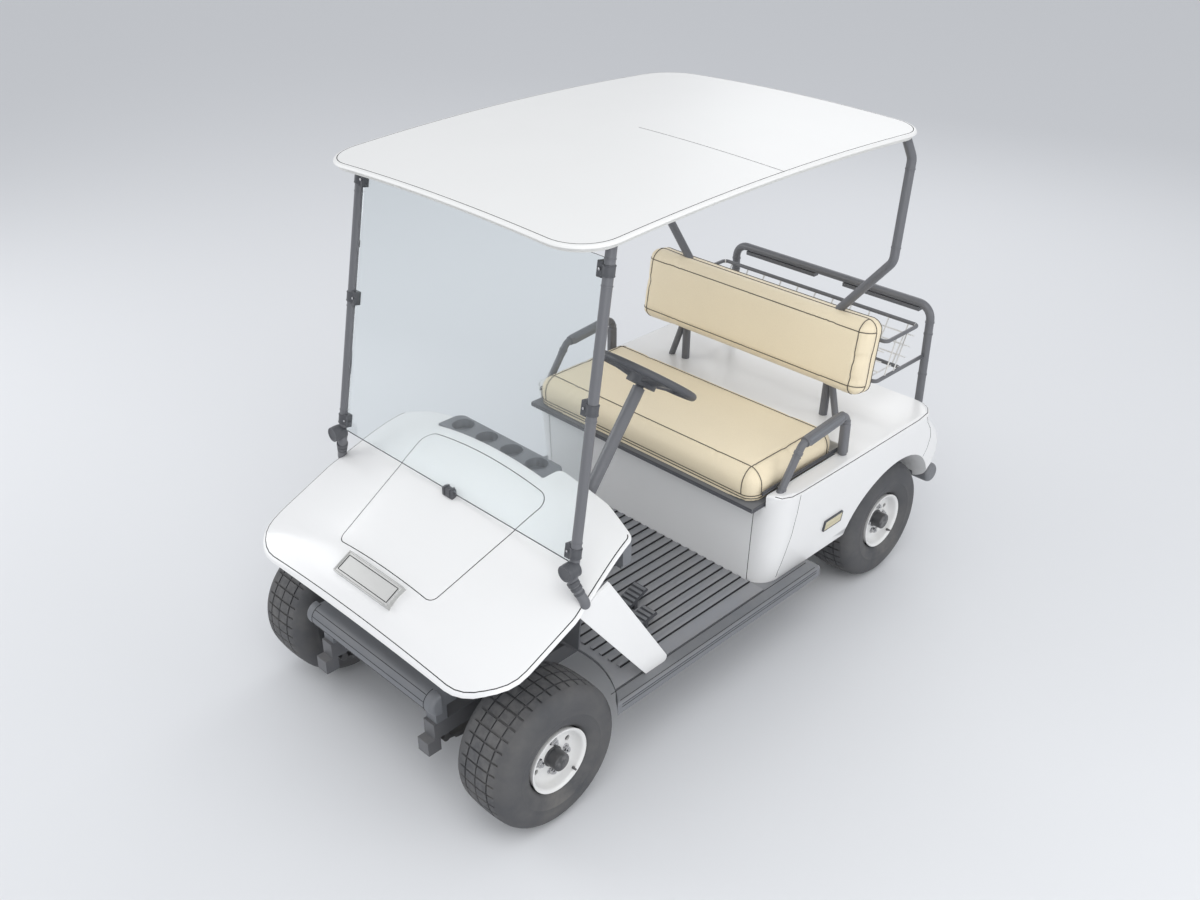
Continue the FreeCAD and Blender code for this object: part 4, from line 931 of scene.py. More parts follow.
def curve_through(column):
    """Smooth function along the cowl through one column, with a cubic between each pair."""
    ys, values = cowl_ys, [row[column] for row in COWL_ROWS]
    last = len(ys) - 1
    slopes = []
    for i in range(len(ys)):
        a, b = max(i - 1, 0), min(i + 1, last)
        slopes.append((values[b] - values[a]) / (ys[b] - ys[a]))

    def value_at(y):
        """Value of the column at one y."""
        i = next((k for k in range(last) if y < ys[k + 1]), last - 1)
        width = ys[i + 1] - ys[i]
        t = (y - ys[i]) / width
        return ((2 * t ** 3 - 3 * t * t + 1) * values[i]
                + (t ** 3 - 2 * t * t + t) * width * slopes[i]
                + (3 * t * t - 2 * t ** 3) * values[i + 1]
                + (t ** 3 - t * t) * width * slopes[i + 1])
    return value_at


cowl_middle, cowl_drop = curve_through(1), curve_through(2)


def cowl_height(x, y):
    """Top surface of the cowl."""
    along = max(cowl_ys[0], min(cowl_ys[-1], y - axle_y))
    return cowl_middle(along) - cowl_drop(along) * (x / COWL_HALF) ** 2


print("cowl height at the axle", round(cowl_height(0, axle_y), 4))

# %% Cowl moulding
TRAY_GAP, COWL_REAR = 0.0006, axle_y + 0.380
tray_low, tray_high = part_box("dash_tray")
tray_left, tray_right = tray_low[0] - TRAY_GAP, tray_high[0] + TRAY_GAP
tray_front = tray_low[1] - TRAY_GAP
# Columns: x, y, corner radius: the left side from the nose to the rear.
COWL_PLAN = [(0.577, axle_y - 0.256, 0.160), (0.577, axle_y + 0.080, 0.150),
             (0.522, axle_y + 0.352, 0.030), (0.400, COWL_REAR, 0.120)]
corners = [(-x, y, radius) for x, y, radius in COWL_PLAN]
corners += [(tray_left, COWL_REAR, 0.022), (tray_left, tray_front, 0.004),
            (tray_right, tray_front, 0.004), (tray_right, COWL_REAR, 0.022)]
corners += reversed(COWL_PLAN)
cowl_outline = rounded([(x, y, 0) for x, y, _ in corners], [radius for _, _, radius in corners])
cowl = plan_sheet(cowl_outline, (0.0015, 0.002, 0.0035), 0.026)
lifted(cowl, cowl_outline, cowl_height, COWL_RIM)
walled(cowl, COWL_WALL)
cowl_skin = surface_of(cowl)
print("cowl faces", len(cowl.data.polygons))

# %% Hood and rim lines
HOOD = [(0.280, axle_y + 0.271), (0.219, axle_y - 0.133), (-0.219, axle_y - 0.133),
        (-0.280, axle_y + 0.271)]
RIM_LINE_IN, RIM_LINE_END, BESIDE_TRAY = 0.010, axle_y + 0.345, 0.45
hood_plan = rounded([(x, y, 0) for x, y in HOOD], [0.040, 0.028, 0.028, 0.040], 10)
hood_line = on_top(cowl_skin, along_line(hood_plan, 0.012, True), cowl_height)
# The line stops at the two rear corners, so its points are put in order from one to the other.
rim_run = inside_rim(cowl_outline, RIM_LINE_IN)
kept = [spot.y < RIM_LINE_END and not (abs(spot.x) < BESIDE_TRAY and spot.y > axle_y + 0.2)
        for spot in rim_run]
first = next(index for index in range(len(rim_run)) if kept[index] and not kept[index - 1])
order = [(first + step) % len(rim_run) for step in range(len(rim_run))]
rim_line = on_top(cowl_skin, [rim_run[index] for index in order if kept[index]], cowl_height)
engraved(cowl, [(hood_line, True), (rim_line, False)], 0.0016)
shell_piece(cowl, "front_cowl_shell", "body_white", ["front_cowl"])
print("points on the hood line", len(hood_line), "and on the rim line", len(rim_line))

# %% [markdown]
# ## Roof
# The roof is a shallow dish turned over: arched from front to back, crowned from side to side,
# with generous corners and a rolled edge that shows a white band under a fine line round the
# top. A crease runs across the left half near the middle.

# %% Roof moulding
roof_low, roof_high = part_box("roof")
ROOF_CORNER, ROOF_WALL, ROOF_CROWN, ROOF_RIM = 0.130, 0.022, 0.018, 0.008
FRONT_RIM, MIDDLE_RIM, REAR_RIM = 1.676, 1.705, 1.679
roof_middle_y = (roof_low[1] + roof_high[1]) / 2
roof_half_y, roof_half_x = (roof_high[1] - roof_low[1]) / 2 + 0.010, roof_high[0] + 0.020


def roof_height(x, y):
    """Top surface of the roof: one arc along, one across."""
    share = (y - roof_middle_y) / roof_half_y
    rim = MIDDLE_RIM - share * share * (MIDDLE_RIM - (FRONT_RIM if share < 0 else REAR_RIM))
    return rim + ROOF_CROWN * (1 - (x / roof_half_x) ** 2)


roof_plan = [(roof_low[0], roof_low[1], 0), (roof_high[0], roof_low[1], 0),
             (roof_high[0], roof_high[1], 0), (roof_low[0], roof_high[1], 0)]
roof_outline = rounded(roof_plan, ROOF_CORNER, 12)
roof = plan_sheet(roof_outline, (0.001, 0.0015, 0.0025, 0.004), 0.045)
lifted(roof, roof_outline, roof_height, ROOF_RIM)
walled(roof, ROOF_WALL)
print("roof faces", len(roof.data.polygons), "box", [round(c, 3) for c in roof.dimensions])

# %% Crease and band of the roof
CREASE_FROM, CREASE_RUN, CREASE_STEPS = (0.002, 0.012), (0.531, 0.004), 40
crease = [[start + run * i / CREASE_STEPS for start, run in zip(CREASE_FROM, CREASE_RUN)]
          for i in range(CREASE_STEPS + 1)]
roof_skin = surface_of(roof)
engraved(roof, [(on_top(roof_skin, crease, roof_height), False),
                (on_top(roof_skin, inside_rim(roof_outline, 0.0115), roof_height), True)], 0.0013)
shell_piece(roof, "roof_shell", "roof_white", ["roof"])
print("crease from x", CREASE_FROM[0], "to", round(CREASE_FROM[0] + CREASE_RUN[0], 3))

# %% [markdown]
# ## Rear body
# The CAD shape of the rear body already has its curves, its wheel arches and its well, so the
# piece is a copy of that mesh, merged and smoothed. Its panel joints are engraved as on the
# cowl: one along the top edge, two at each front corner and one round each rear corner.

# %% Rear body
EDGE_HIGH = 0.6465
body_copy = merged(copied(nodes["rear_body"], Matrix.Identity(4)), 0.00002)
body_skin = surface_of(body_copy)
top_edge = [(x, y, EDGE_HIGH) for x, y in (
    (0.532, 0.085), (0.562, 0.098), (0.578, 0.130), (0.5815, 0.180), (0.583, 0.460), (0.582, 0.850),
    (0.574, 0.915), (0.552, 0.950), (0.520, 0.964), (0.480, 0.968))]
rear_corner = [(0.580, 0.900, 0.639), (0.580, 0.956, 0.571), (0.580, 0.977, 0.518),
               (0.580, 0.979, 0.470), (0.580, 0.965, 0.434)]
front_turn = [(0.478, 0.068, 0.600), (0.474, 0.068, 0.500), (0.470, 0.068, 0.400),
              (0.466, 0.068, 0.300)]
side_turn = [(0.590, 0.165, 0.640), (0.590, 0.172, 0.560), (0.590, 0.172, 0.470),
             (0.580, 0.160, 0.390), (0.560, 0.135, 0.305)]
joints = [(laid_on(body_skin, along_line([(side * x, y, z) for x, y, z in run])), False)
          for side in (1, -1) for run in (top_edge, rear_corner, front_turn, side_turn)]
engraved(body_copy, joints, 0.0014)
shell_piece(body_copy, "rear_body_shell", "body_white", ["rear_body"])
modify(body_copy, "WEIGHTED_NORMAL", weight=60, keep_sharp=True)
print("joints engraved", len(joints))

# %% [markdown]
# ## Seat and backrest
# A cushion is foam under a sewn cover. Each one starts as a block a little smaller than its CAD
# solid, with its upholstered edges rolled over. A voxel remesh gives it an even net, and a
# cloth simulation with air pressure inside fills the cover. The seams then pull the cover in,
# and a piping cord is laid along each of them. The cut side, which rests on the pan or on the
# frame, stays flat.

# %% Block and filling of a cushion
NET_SIZE, AIR_PRESSURE, FILL_FRAMES, FILL_REACH = 0.006, 4.0, 20, 0.008
FLAT_WITHIN = 0.0035


def filled_cover(obj):
    """Swells a cover under pressure; no point moves further than the reach."""
    modify(obj, "REMESH", mode="VOXEL", voxel_size=NET_SIZE)
    before = [vertex.co.copy() for vertex in obj.data.vertices]
    take(obj)
    cloth = obj.modifiers.new("Cover", "CLOTH")
    cloth.settings.use_pressure = True
    cloth.settings.uniform_pressure_force = AIR_PRESSURE
    cloth.settings.effector_weights.gravity = 0.0
    cloth.point_cache.frame_start, cloth.point_cache.frame_end = 1, FILL_FRAMES
    for frame_number in range(1, FILL_FRAMES + 1):
        bpy.context.scene.frame_set(frame_number)
    bpy.ops.object.modifier_apply(modifier=cloth.name)
    bpy.context.scene.frame_set(1)
    for vertex, start in zip(obj.data.vertices, before):
        moved = vertex.co - start
        if moved.length > FILL_REACH:
            vertex.co = start + moved * (FILL_REACH / moved.length)


def cushion(size, roll, axis, sign):
    """Filled block with rolled edges, cut flat on the side that an axis and a sign name."""
    wide, deep, high = size
    low, top = Vector((-wide / 2, 0, 0)), Vector((wide / 2, deep, high))
    (top if sign > 0 else low)[axis] += sign * roll * 1.5
    made = soft_block(low, top, roll, 10)
    spot, normal = [0, 0, 0], [0, 0, 0]
    spot[axis], normal[axis] = (size[axis] if sign > 0 else 0.0), sign
    pick(made, "VERT")
    bpy.ops.mesh.bisect(plane_co=spot, plane_no=normal, clear_outer=True, use_fill=True)
    let_go()
    filled_cover(made)
    flat = spot[axis]
    for vertex in made.data.vertices:
        past = sign * (vertex.co[axis] - flat)
        if past > 0 or abs(past) < FLAT_WITHIN:
            vertex.co[axis] = flat
    return made


print("cushion helpers ready")

# %% [markdown]
# ## Seams and piping
# A seam holds two panels of the cover together, so the padding bulges between the seams. The
# piping is a thin cord in each seam. Both could be a bump in the vinyl, but their outline
# shows at the cushion's edge, so the cover is drawn in and the cord is a real one.

# %% Seam helpers
SEAM_DEEP, SEAM_WIDE, SEAM_STEP, CORD = 0.0028, 0.009, 0.008, 0.0017
TINY = 1e-4


def pulled_in(obj, seams):
    """Draws the cover in along its seams; small triangles make the seams a search tree."""
    spots = [spot for seam in seams for spot in seam]
    corners = [corner for spot in spots
               for corner in (spot, spot + Vector((0, 0, TINY)), spot + Vector((0, TINY, 0)))]
    tree = BVHTree.FromPolygons(corners, [(i, i + 1, i + 2) for i in range(0, len(corners), 3)])
    normals = [vertex.normal.copy() for vertex in obj.data.vertices]
    for vertex, normal in zip(obj.data.vertices, normals):
        away = tree.find_nearest(vertex.co)[3]
        vertex.co -= normal * (SEAM_DEEP * math.exp(-(away / SEAM_WIDE) ** 2))


def seam_loop(skin, corners, radius):
    """Closed seam through rounded corners, laid on the cushion."""
    return laid_on(skin, along_line(rounded(corners, radius), closed=True)), True


def corner_arc(skin, centre, along, across, last, steps=10):
    """Seam round a rolled edge: where rays in one plane, up to a last angle, leave the cushion."""
    out = []
    for index in range(steps + 1):
        turn = math.radians(2 + (last - 2) * index / steps)
        way = Vector(along) * math.cos(turn) + Vector(across) * math.sin(turn)
        spot = skin.ray_cast(Vector(centre) + way, -way)[0]
        if spot:
            out.append(spot)
    return out


def sewn(obj, seams, name, body, stands_for, matrix):
    """Finishes a cushion: seams pulled in, smooth, piping laid on, set in its place."""
    runs = [along_line(seam, SEAM_STEP, closed) for seam, closed in seams]
    pulled_in(obj, runs)
    modify(obj, "SUBSURF", levels=1, render_levels=1)
    skin = surface_of(obj)
    piping = joined([path_tube(laid_on(skin, run, CORD * 0.35), CORD, closed, sides=2)
                     for run, (_, closed) in zip(runs, seams)])
    for part in (obj, piping):
        turned(part, matrix)
    piece(obj, name, body, "seat_vinyl", stands_for=stands_for, angle=0)
    take(obj)
    bpy.ops.object.shade_smooth()
    piece(piping, name + "_piping", body, "seat_vinyl", "seat_piping")
    print(name, "faces", len(obj.data.polygons), "size", [round(c, 3) for c in obj.dimensions])


print("seam helpers ready")

# %% [markdown]
# ## Seat cushion
# The seat is one wide bench pad. A seam runs round its top, two close ones round its foot, and
# at each corner two arcs come down from the top seam, where the corner panel is sewn in.

# %% Seat cushion
SEAT_ROLL, SEAT_GAP, ARC_FOOT = 0.052, Vector((0.010, 0.010, 0.004)), 0.024
seat_low, seat_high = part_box("seat_cushion")
size = seat_high - seat_low - SEAT_GAP
seat = cushion(size, SEAT_ROLL, 2, -1)
skin = surface_of(seat)
half, deep, high = size.x / 2, size.y, size.z
near, far = half - SEAT_ROLL, deep - SEAT_ROLL
top_seam = [(-near, SEAT_ROLL, high), (near, SEAT_ROLL, high), (near, far, high), (-near, far, high)]
seams = [(laid_on(skin, along_line(top_seam, closed=True)), True)]
for level in (0.012, 0.022):
    seams.append(seam_loop(skin, [(-half, 0, level), (half, 0, level), (half, deep, level),
                                  (-half, deep, level)], SEAT_ROLL))
for side in (1, -1):
    for y, way in ((SEAT_ROLL, -1), (far, 1)):
        for across in ((0, way, 0), (side, 0, 0)):
            arc = corner_arc(skin, (side * near, y, high - SEAT_ROLL), (0, 0, 1), across, 88)
            foot = Vector((side * near, y, ARC_FOOT)) + Vector(across) * SEAT_ROLL
            seams.append((arc + laid_on(skin, along_line([arc[-1], foot]))[1:], False))
sewn(seat, seams, "seat_cushion_cover", "seat_lid", ["seat_cushion"],
     Matrix.Translation((0, seat_low.y + 0.005, seat_low.z)))
print("seams on the seat", len(seams))

# %% [markdown]
# ## Backrest
# The backrest is a thinner pad that leans back on the rear struts. Its front has a seam round
# the flat middle, its sides two seams round, and short arcs join them at the corners.

# %% Backrest
BACK_ROLL, BACK_SIZE = 0.044, Vector((1.006, 0.087, 0.277))
BACK_FOOT, BACK_LEAN, BACK_GAP = (0, 0.556, 0.792), math.radians(-9.5), (0, 0.002, 0.004)
back = cushion(BACK_SIZE, BACK_ROLL, 1, 1)
skin = surface_of(back)
half, deep, high = BACK_SIZE.x / 2, BACK_SIZE.y, BACK_SIZE.z
seams = []
# Columns: depth of the seam, how far it stands in from the outline, its corner radius.
for y, inset, radius in ((0.0, BACK_ROLL, 0.001), (BACK_ROLL + 0.003, 0.0, BACK_ROLL),
                         (deep - 0.006, 0.0, BACK_ROLL)):
    seams.append(seam_loop(skin, [(-half + inset, y, inset), (half - inset, y, inset),
                                  (half - inset, y, high - inset),
                                  (-half + inset, y, high - inset)], radius))
for side in (1, -1):
    for z, way in ((BACK_ROLL, -1), (high - BACK_ROLL, 1)):
        for across in ((0, 0, way), (side, 0, 0)):
            centre = (side * (half - BACK_ROLL), BACK_ROLL, z)
            seams.append((corner_arc(skin, centre, (0, -1, 0), across, 90), False))
lean = Matrix.Translation(BACK_FOOT) @ Matrix.Rotation(BACK_LEAN, 4, "X")
sewn(back, seams, "backrest_cover", "chassis", ["backrest_cushion"],
     lean @ Matrix.Translation(BACK_GAP))
print("seams on the backrest", len(seams))

# %% [markdown]
# ## Fittings on the tubes
# The grips, clamps and collars sit on tubes that lean, so each is built upright at the origin,
# where its sizes are easy to read, and then turned so that its Z runs along the tube. What is
# on the left side is copied to the right by a mirror.

# %% Helpers for parts on a tube
UP = Vector((0, 0, 1))


def at(x, y, z):
    """Point whose y is counted from the front axle."""
    return Vector((x, axle_y + y, z))


def aimed(start, end):
    """Matrix that puts Z along start to end and keeps X level."""
    ahead = (end - start).normalized()
    level = UP.cross(ahead).normalized()
    made = Matrix((level, ahead.cross(level), ahead)).transposed().to_4x4()
    made.translation = start
    return made


def collar(spot, ahead, radius, length, edge=0.001):
    """Short sleeve round a tube, centred on a spot."""
    spot, half = Vector(spot), Vector(ahead).normalized() * (length / 2)
    return soft_bar(spot - half, spot + half, radius, 40, edge)


print("tube helpers ready")

# %% [markdown]
# ## Hip restraints
# At each end of the seat a bent tube keeps the rider in. Its top run carries a moulded grip with
# raised ribs, a collar ends each stretch, and its rear leg is a flat post. The tube itself is the
# CAD node; the parts on it are blocks and sleeves, because they are small and regular.

# %% Grips
HIP_FOOT = Vector((0.536, 0.108, 0.632))
HIP_FRONT, HIP_REAR = Vector((0.536, 0.218, 0.784)), Vector((0.536, 0.456, 0.806))
hip_run = HIP_REAR - HIP_FRONT
grip_from, grip_to = HIP_FRONT + hip_run * 0.10, HIP_FRONT + hip_run * 0.86
grip_long = (grip_to - grip_from).length
rib_from, rib_to = 0.012, grip_long - 0.012
parts = [soft_block((-0.0165, -0.0150, 0), (0.0165, 0.0140, grip_long), 0.0055, 3)]
parts += [soft_block((x - 0.0022, 0.0125, rib_from), (x + 0.0022, 0.0153, rib_to), 0.0008)
          for x in (-0.0085, 0.0, 0.0085)]
parts += [soft_block((-0.0173, y - 0.0018, rib_from), (0.0173, y + 0.0018, rib_to), 0.0006)
          for y in (-0.0055, 0.0045)]
on_grip = aimed(grip_from, grip_to)
both_sides([turned(part, on_grip) for part in parts], "hip_grips", "chassis", "grey_plastic")
print("grip length", round(grip_long, 4))

# %% Collars and rear posts
along, leg = hip_run.normalized(), (HIP_FRONT - HIP_FOOT).normalized()
# Columns: middle, direction, radius, length.
HIP_COLLARS = [(grip_from - along * 0.005, along, 0.0172, 0.010),
               (grip_to + along * 0.006, along, 0.0166, 0.012),
               (HIP_FRONT - leg * 0.030, leg, 0.0152, 0.012),
               (HIP_FRONT - leg * 0.043, leg, 0.0146, 0.006),
               (HIP_FOOT + leg * 0.034, leg, 0.0150, 0.008)]
parts = [collar(*row) for row in HIP_COLLARS]
parts.append(soft_block((0.5220, 0.4370, 0.6535), (0.5500, 0.4705, 0.772), 0.0090, 5))
parts.append(collar((HIP_REAR.x, HIP_REAR.y, 0.774), UP, 0.0148, 0.012))
both_sides(parts, "hip_collars_and_posts", "chassis", "tube_grey")
print("hip collars", len(HIP_COLLARS))

# %% [markdown]
# ## Windshield clamps and foot knobs
# Three clamps on each front strut hold the pane's edge in a jaw with a screw, and a ribbed knob
# at the foot lets the pane be taken off. The jaw's recess and the knob's rings are insets that
# are moved in or out, the quickest way to a stepped face.

# %% Clamps
STRUT_LOW, STRUT_HIGH = at(0.528, 0.117, 0.806), at(0.509, 0.272, 1.650)
strut_run = STRUT_HIGH - STRUT_LOW
strut_along = strut_run.normalized()
lean = UP.rotation_difference(strut_along).to_matrix().to_4x4()
jaws, screws = [], []
for share in (0.05, 0.52, 0.94):
    jaw = soft_block((-0.0300, -0.0130, -0.0210), (-0.0100, 0.0130, 0.0210), 0.0018)
    pick(jaw, "FACE", lambda face: face.normal.y < -0.9 and face.calc_area() > 2e-4)
    bpy.ops.mesh.inset(thickness=0.0035)
    bpy.ops.transform.translate(value=(0, 0.0025, 0))
    let_go()
    clamp = [jaw, soft_bar((0, 0, -0.0150), (0, 0, 0.0150), 0.0168, 40, 0.0012)]
    clamp += [soft_bar((0, 0, z - 0.002), (0, 0, z + 0.002), 0.0176, 40, 0.0008, 1)
              for z in (-0.013, 0.013)]
    screw = soft_bar((-0.0200, -0.0150, 0), (-0.0200, -0.0095, 0), 0.0038, 20, 0.0008)
    on_strut = Matrix.Translation(STRUT_LOW + strut_run * share) @ lean
    jaws += [turned(part, on_strut) for part in clamp]
    screws.append(turned(screw, on_strut))
print("clamp parts", len(jaws))

# %% Foot knobs
knob_at = STRUT_LOW + Vector((0.003, -0.040, -0.002))
KNOB_LONG, BAND_FROM, BAND_TO = Vector((0, 0.044, 0)), Vector((0, 0.0130, 0)), Vector((0, 0.0310, 0))
knob = round_bar(knob_at, knob_at + KNOB_LONG, 0.0240, 48)
pick(knob, "FACE", lambda face: face.normal.y < -0.9)
bpy.ops.mesh.inset(thickness=0.0035)
bpy.ops.mesh.inset(thickness=0.0030)
bpy.ops.transform.translate(value=(0, 0.0028, 0))
let_go()
jaws += [soften(knob, 0.0022, 3),
         soft_bar(knob_at + BAND_FROM, knob_at + BAND_TO, 0.0249, 48, 0.0015)]
foot_top = STRUT_LOW - strut_run * 0.05
down = (at(0.562, 0.124, 0.704) - foot_top).normalized()
jaws += [collar(foot_top + down * reach, down, radius, length)
         for reach, radius, length in ((0.006, 0.0178, 0.012), (0.022, 0.0166, 0.010),
                                       (0.038, 0.0158, 0.008))]
both_sides(jaws, "windshield_clamps_and_knobs", "chassis", "dark_plastic",
           stands_for=["windshield_clamps"])
both_sides(screws, "clamp_screws", "chassis", "dark_plastic", "bright_steel")
print("clamps and knobs in place")

# %% [markdown]
# ## Pane clip, painted edge shade and rings
# A small clip holds the pane's lower edge at the middle; a thin dark strip on it is painted shade.
# Fine rings mark where one tube slides into the next. They are tiny, yet they give the tubes
# their scale.

# %% Clip of the pane and the painted shade along its edge
CLIP_Y = 0.1215
clip = [soft_block(at(-0.0230, CLIP_Y - 0.0110, 0.7925), at(0.0230, CLIP_Y + 0.0120, 0.8210), 0.0030, 3)]
clip += [soft_block(at(x - 0.0030, CLIP_Y - 0.0135, 0.7970), at(x + 0.0030, CLIP_Y + 0.0130, 0.8235),
                    0.0012) for x in (-0.0120, 0.0120)]
piece(joined(clip), "pane_clip", "chassis", "dark_plastic")
pane_low, pane_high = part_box("windshield")
# The dark strip along the pane's foot is painted shade of the glass edge.
foot_line = [(x, pane_low[1] + 0.003, pane_low[2] + 0.001)
             for x in (pane_low[0] + 0.004, 0, pane_high[0] - 0.004)]
piece(path_tube(foot_line, 0.0022, sides=2), "pane_edge_shade_strip", "chassis", "dark_plastic")
print("pane edging from", round(pane_low[0], 3), "to", round(pane_high[0], 3))

# %% Rings on the struts and on the bag bar's posts
REAR_STRUT_LOW, REAR_STRUT_HIGH = Vector((0.519, 0.652, 1.270)), Vector((0.510, 0.700, 1.593))
rear_run = REAR_STRUT_HIGH - REAR_STRUT_LOW
# Columns: middle, direction, radius, length.
RINGS = [((0.445, 1.072, z), UP, 0.0166, 0.007) for z in (0.700, 0.860, 0.905)]
RINGS += [((0.330, 0.654, z), UP, 0.0164, 0.006) for z in (0.770, 0.785)]
RINGS += [(REAR_STRUT_LOW + rear_run * share, rear_run, 0.0163, 0.005) for share in (0.14, 0.90)]
rings = [collar(STRUT_LOW + strut_run * share, strut_along, 0.0157, 0.004, 0.0008)
         for share in (0.085, 0.485, 0.895, 0.975)]
rings += [collar(*row) for row in RINGS]
both_sides(rings, "tube_rings", "chassis", "tube_grey")
print("rings", len(RINGS) + 4)

# %% [markdown]
# ## Frame of the blank plate
# Small trim tells the eye how big the cart is. Two closed tubes laid on the plate make its frame:
# a bolder one near its edge and a fine dark one inside it.

# %% Plate frame
PLATE_HIGH, PLATE_LOW = at(0, -0.1543, 0.6732), at(0, -0.2188, 0.6369)
plate_skin = surface_of(nodes["nameplate"])


def plate_loop(half, top, bottom, radius):
    """Closed tube on the plate between two shares of its slope."""
    ends = []
    for side, share in ((-1, top), (1, top), (1, bottom), (-1, bottom)):
        spot = PLATE_HIGH.lerp(PLATE_LOW, share)
        ends.append((side * half, spot.y, spot.z))
    return path_tube(laid_on(plate_skin, along_line(ends, closed=True), 0.0004), radius, True, 2)


piece(plate_loop(0.1245, 0.03, 0.97, 0.0027), "plate_frame", "chassis", "nameplate")
piece(plate_loop(0.1150, 0.16, 0.84, 0.0012), "plate_inner_line", "chassis", "nameplate",
      "joint_shadow")
print("plate framed")

# %% [markdown]
# ## Moulded lines on the bumpers
# The rubber bumpers are round bars with fine ribs moulded along them. The front one also has a
# ring near each end. Thin dark tubes half sunk in the rubber stand for the shadow of each rib.

# %% Bumper lines
# Columns: middle y and z of the bar, radius to the line, which way it faces.
FRONT_BAR, REAR_BAR = (-1.079, 0.380, 0.0378, -1), (1.109, 0.294, 0.0368, 1)


def on_bar(bar, degrees):
    """y and z of a spot round a bar; 0 is its middle height."""
    y, z, radius, way = bar
    turn = math.radians(degrees)
    return y + way * radius * math.cos(turn), z + radius * math.sin(turn)


def bar_line(bar, degrees, xs):
    """Thin tube along a bar."""
    return path_tube([(x, *on_bar(bar, degrees)) for x in xs], 0.0011, sides=1)


lines = [bar_line(FRONT_BAR, degrees, (-0.272, -0.1, 0.1, 0.272)) for degrees in (-52, -18, 18, 52)]
end_bar = (*FRONT_BAR[:2], 0.0379, -1)
for side in (1, -1):
    ring = [(side * 0.274, *on_bar(end_bar, degrees)) for degrees in range(-90, 91, 10)]
    lines.append(path_tube(ring, 0.0012, sides=1))
lines += [bar_line(REAR_BAR, degrees, (-0.495, -0.2, 0.2, 0.495)) for degrees in (-40, 0, 40)]
piece(joined(lines), "bumper_lines", "chassis", "grey_plastic", "joint_shadow")
print("bumper lines", len(lines))

# %% [markdown]
# ## Rims of the seat tray and the cup holes
# All rims are thin tubes bent along an edge. The tray has a double one round its front and
# sides and another higher up on each side. They ride on the seat lid and open with the cushion.

# %% Rim of the seat tray
TRAY_HALF, TRAY_FRONT, TRAY_REAR = 0.5125, 0.0145, 0.470
tray_rims = []
for z, out, radius in ((0.6105, TRAY_HALF, 0.0034), (0.6185, TRAY_HALF - 0.001, 0.0030)):
    left_half = [(out - 0.004, TRAY_FRONT, z), (out, 0.020, z), (out, TRAY_REAR, z)]
    right_half = [(-x, y, height) for x, y, height in reversed(left_half)]
    tray_rims.append(path_tube(right_half + left_half, radius))
for side in (-1, 1):
    for z, radius in ((0.6555, 0.0036), (0.6640, 0.0026)):
        tray_rims.append(path_tube([(side * TRAY_HALF, y, z) for y in (0.060, 0.250, 0.468)], radius))
piece(joined(tray_rims), "seat_tray_rim", "seat_lid", "dark_plastic")
print("tray rims", len(tray_rims))

# %% Cup rims
CUPS, CUP_PITCH, CUP_RIM, CUP_STEPS = 4, 0.113, 0.0368, 40
cups = []
for index in range(CUPS):
    middle = at(-0.220 + CUP_PITCH * index, 0.361, 0.8520)
    turns = [math.radians(360 / CUP_STEPS * k) for k in range(CUP_STEPS)]
    loop = [middle + Vector((math.cos(t) * CUP_RIM, math.sin(t) * CUP_RIM, 0)) for t in turns]
    cups.append(path_tube(loop, 0.0020, True))
piece(joined(cups), "cup_rims", "chassis", "grey_plastic")
print("cup rims", CUPS)

# %% [markdown]
# ## Ribs on the floor
# Feet need grip, so the pedals have raised rubber ribs and the mat is ribbed all over. The mat's
# ribs are in the CAD already. A dark strip at the foot of each one gives the shadow that tells
# them apart from far away.

# %% Ribs on the pedals
# Columns: foot of the pad, lean in degrees, width, depth, ribs.
PEDALS = [(at(0.267, 0.557, 0.320), 22, 0.056, 0.086, 5), (at(0.355, 0.511, 0.322), 8, 0.057, 0.074, 4)]
pads = []
for foot, degrees, wide, deep, count in PEDALS:
    tread = Matrix.Translation(foot) @ Matrix.Rotation(math.radians(degrees), 4, "X")
    for index in range(count):
        y, half = deep * (index + 0.5) / count, deep / count * 0.30
        rib = soft_block((0.003, y - half, 0.0078), (wide - 0.003, y + half, 0.0122), 0.0012)
        pads.append(turned(rib, tread))
piece(joined(pads), "pedal_ribs", "chassis", "grey_plastic")
print("pedal ribs", len(pads))

# %% Feet of the mat's ribs
_, mat_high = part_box("floor_mat")
RIB_PITCH, RIB_HALF, RIB_HIGH, RIB_COUNT = 0.038, 0.006, 0.005, 26
strip_low, strip_high = mat_high[2] - RIB_HIGH - 0.0004, mat_high[2] - 0.0008
strips = []
for index in range(RIB_COUNT):
    foot = RIB_PITCH * (index - (RIB_COUNT - 1) / 2) + RIB_HALF
    strips.append(block((foot - 0.0004, axle_y + 0.345, strip_low),
                        (foot + 0.0040, mat_high[1] - 0.002, strip_high)))
piece(joined(strips), "mat_rib_edges", "chassis", "mat_rubber", "joint_shadow")
print("mat strips", len(strips))
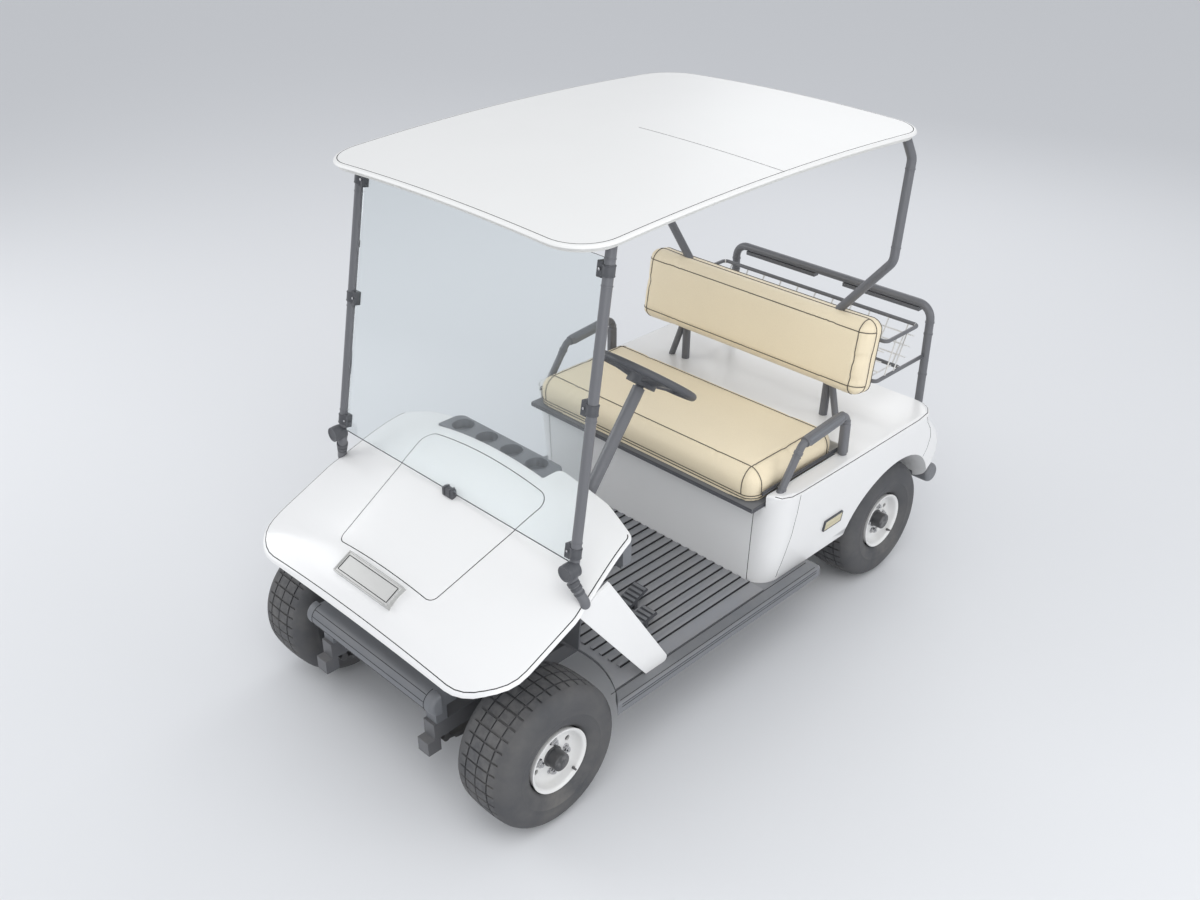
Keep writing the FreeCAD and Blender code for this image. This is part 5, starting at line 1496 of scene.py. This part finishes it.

# %% [markdown]
# ## Reflectors and rockers
# A dark surround holds each side reflector: four bevelled bars on the body's slope. The rockers
# have folded steps along their edges, where fine dark lines are painted shade.

# %% Reflector surrounds
# Columns: low y and z, high y and z of each bar, from the reflector's lower front corner.
SURROUND = [(-0.004, -0.004, 0.096, 0.0), (-0.004, 0.036, 0.096, 0.040), (-0.004, 0.0, 0.0, 0.036),
            (0.092, 0.0, 0.096, 0.036)]
BODY_SLOPE = math.atan(0.15225)
slope = Matrix.Translation((0.5474, 0.368, 0.396)) @ Matrix.Rotation(BODY_SLOPE, 4, "Y")
bars = [turned(soft_block((-0.001, low_y, low_z), (0.0068, high_y, high_z), 0.0010), slope)
        for low_y, low_z, high_y, high_z in SURROUND]
both_sides(bars, "reflector_surrounds", "chassis", "marker", "dark_plastic")
print("surround bars", len(bars))

# %% Edge lines along the rockers
rocker_low, rocker_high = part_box("rocker_panels")
# Columns: distance in from the rocker's outer side, distance down from its top.
ROCKER_LINES = [(0.0085, 0), (0, 0.0085), (0, 0.0180), (0.046, 0)]
# Each line is a thin tube in the dark joint material: painted shade along a fold.
edges = []
for inward, down in ROCKER_LINES:
    x, z = rocker_high[0] - inward, rocker_high[2] - down
    edges.append(path_tube([(x, rocker_low[1] + 0.02, z), (x, rocker_high[1] - 0.02, z)], 0.0010,
                           sides=1))
both_sides(edges, "rocker_lines", "chassis", "grey_plastic", "joint_shadow")
print("rocker lines", len(edges))

# %% [markdown]
# ## Basket
# The basket is white wire hung on two dark bent frames. Its CAD mesh already has every wire, so
# it is copied and merged, and the faces that lie close to a frame's bars get the dark finish.

# %% Basket: dark bent frames, white wires
basket = merged(copied(nodes["basket"], Matrix.Identity(4)))
# Columns: front y, rear y, height of a frame.
RIM_FRAME, LOW_FRAME = (0.800, 0.998, 0.915), (0.760, 0.918, 0.776)
BASKET_HALF, HANGER_X, BAR_NEAR, BAR_ROUND = 0.443, 0.322, 0.012, 0.0088


def off_frame(spot):
    """Distance from the nearest bar of the basket's frames."""
    best = math.inf
    side = abs(spot.x)
    for front, rear, height in (RIM_FRAME, LOW_FRAME):
        if abs(spot.z - height) < BAR_NEAR:
            across = min(abs(spot.y - front), abs(spot.y - rear))
            best = min(best, math.hypot(across, spot.z - height))
            if front - 0.01 < spot.y < rear + 0.01:
                best = min(best, math.hypot(abs(side - BASKET_HALF), spot.z - height))
    front, rear, height = LOW_FRAME
    if abs(spot.z - height) < BAR_NEAR and (spot.y > rear - 0.02 or spot.y < front):
        aside = min(abs(side - BASKET_HALF), abs(side - HANGER_X))
        best = min(best, math.hypot(aside, spot.z - height))
    return best


dark = [off_frame(face.center) < BAR_ROUND for face in basket.data.polygons]
piece(basket, "basket_frames_and_wires", "chassis", "basket_wire", stands_for=["basket"], angle=40)
second_finish(basket, dark, "tube_grey")
print("basket faces", len(dark), "of which dark", sum(dark))
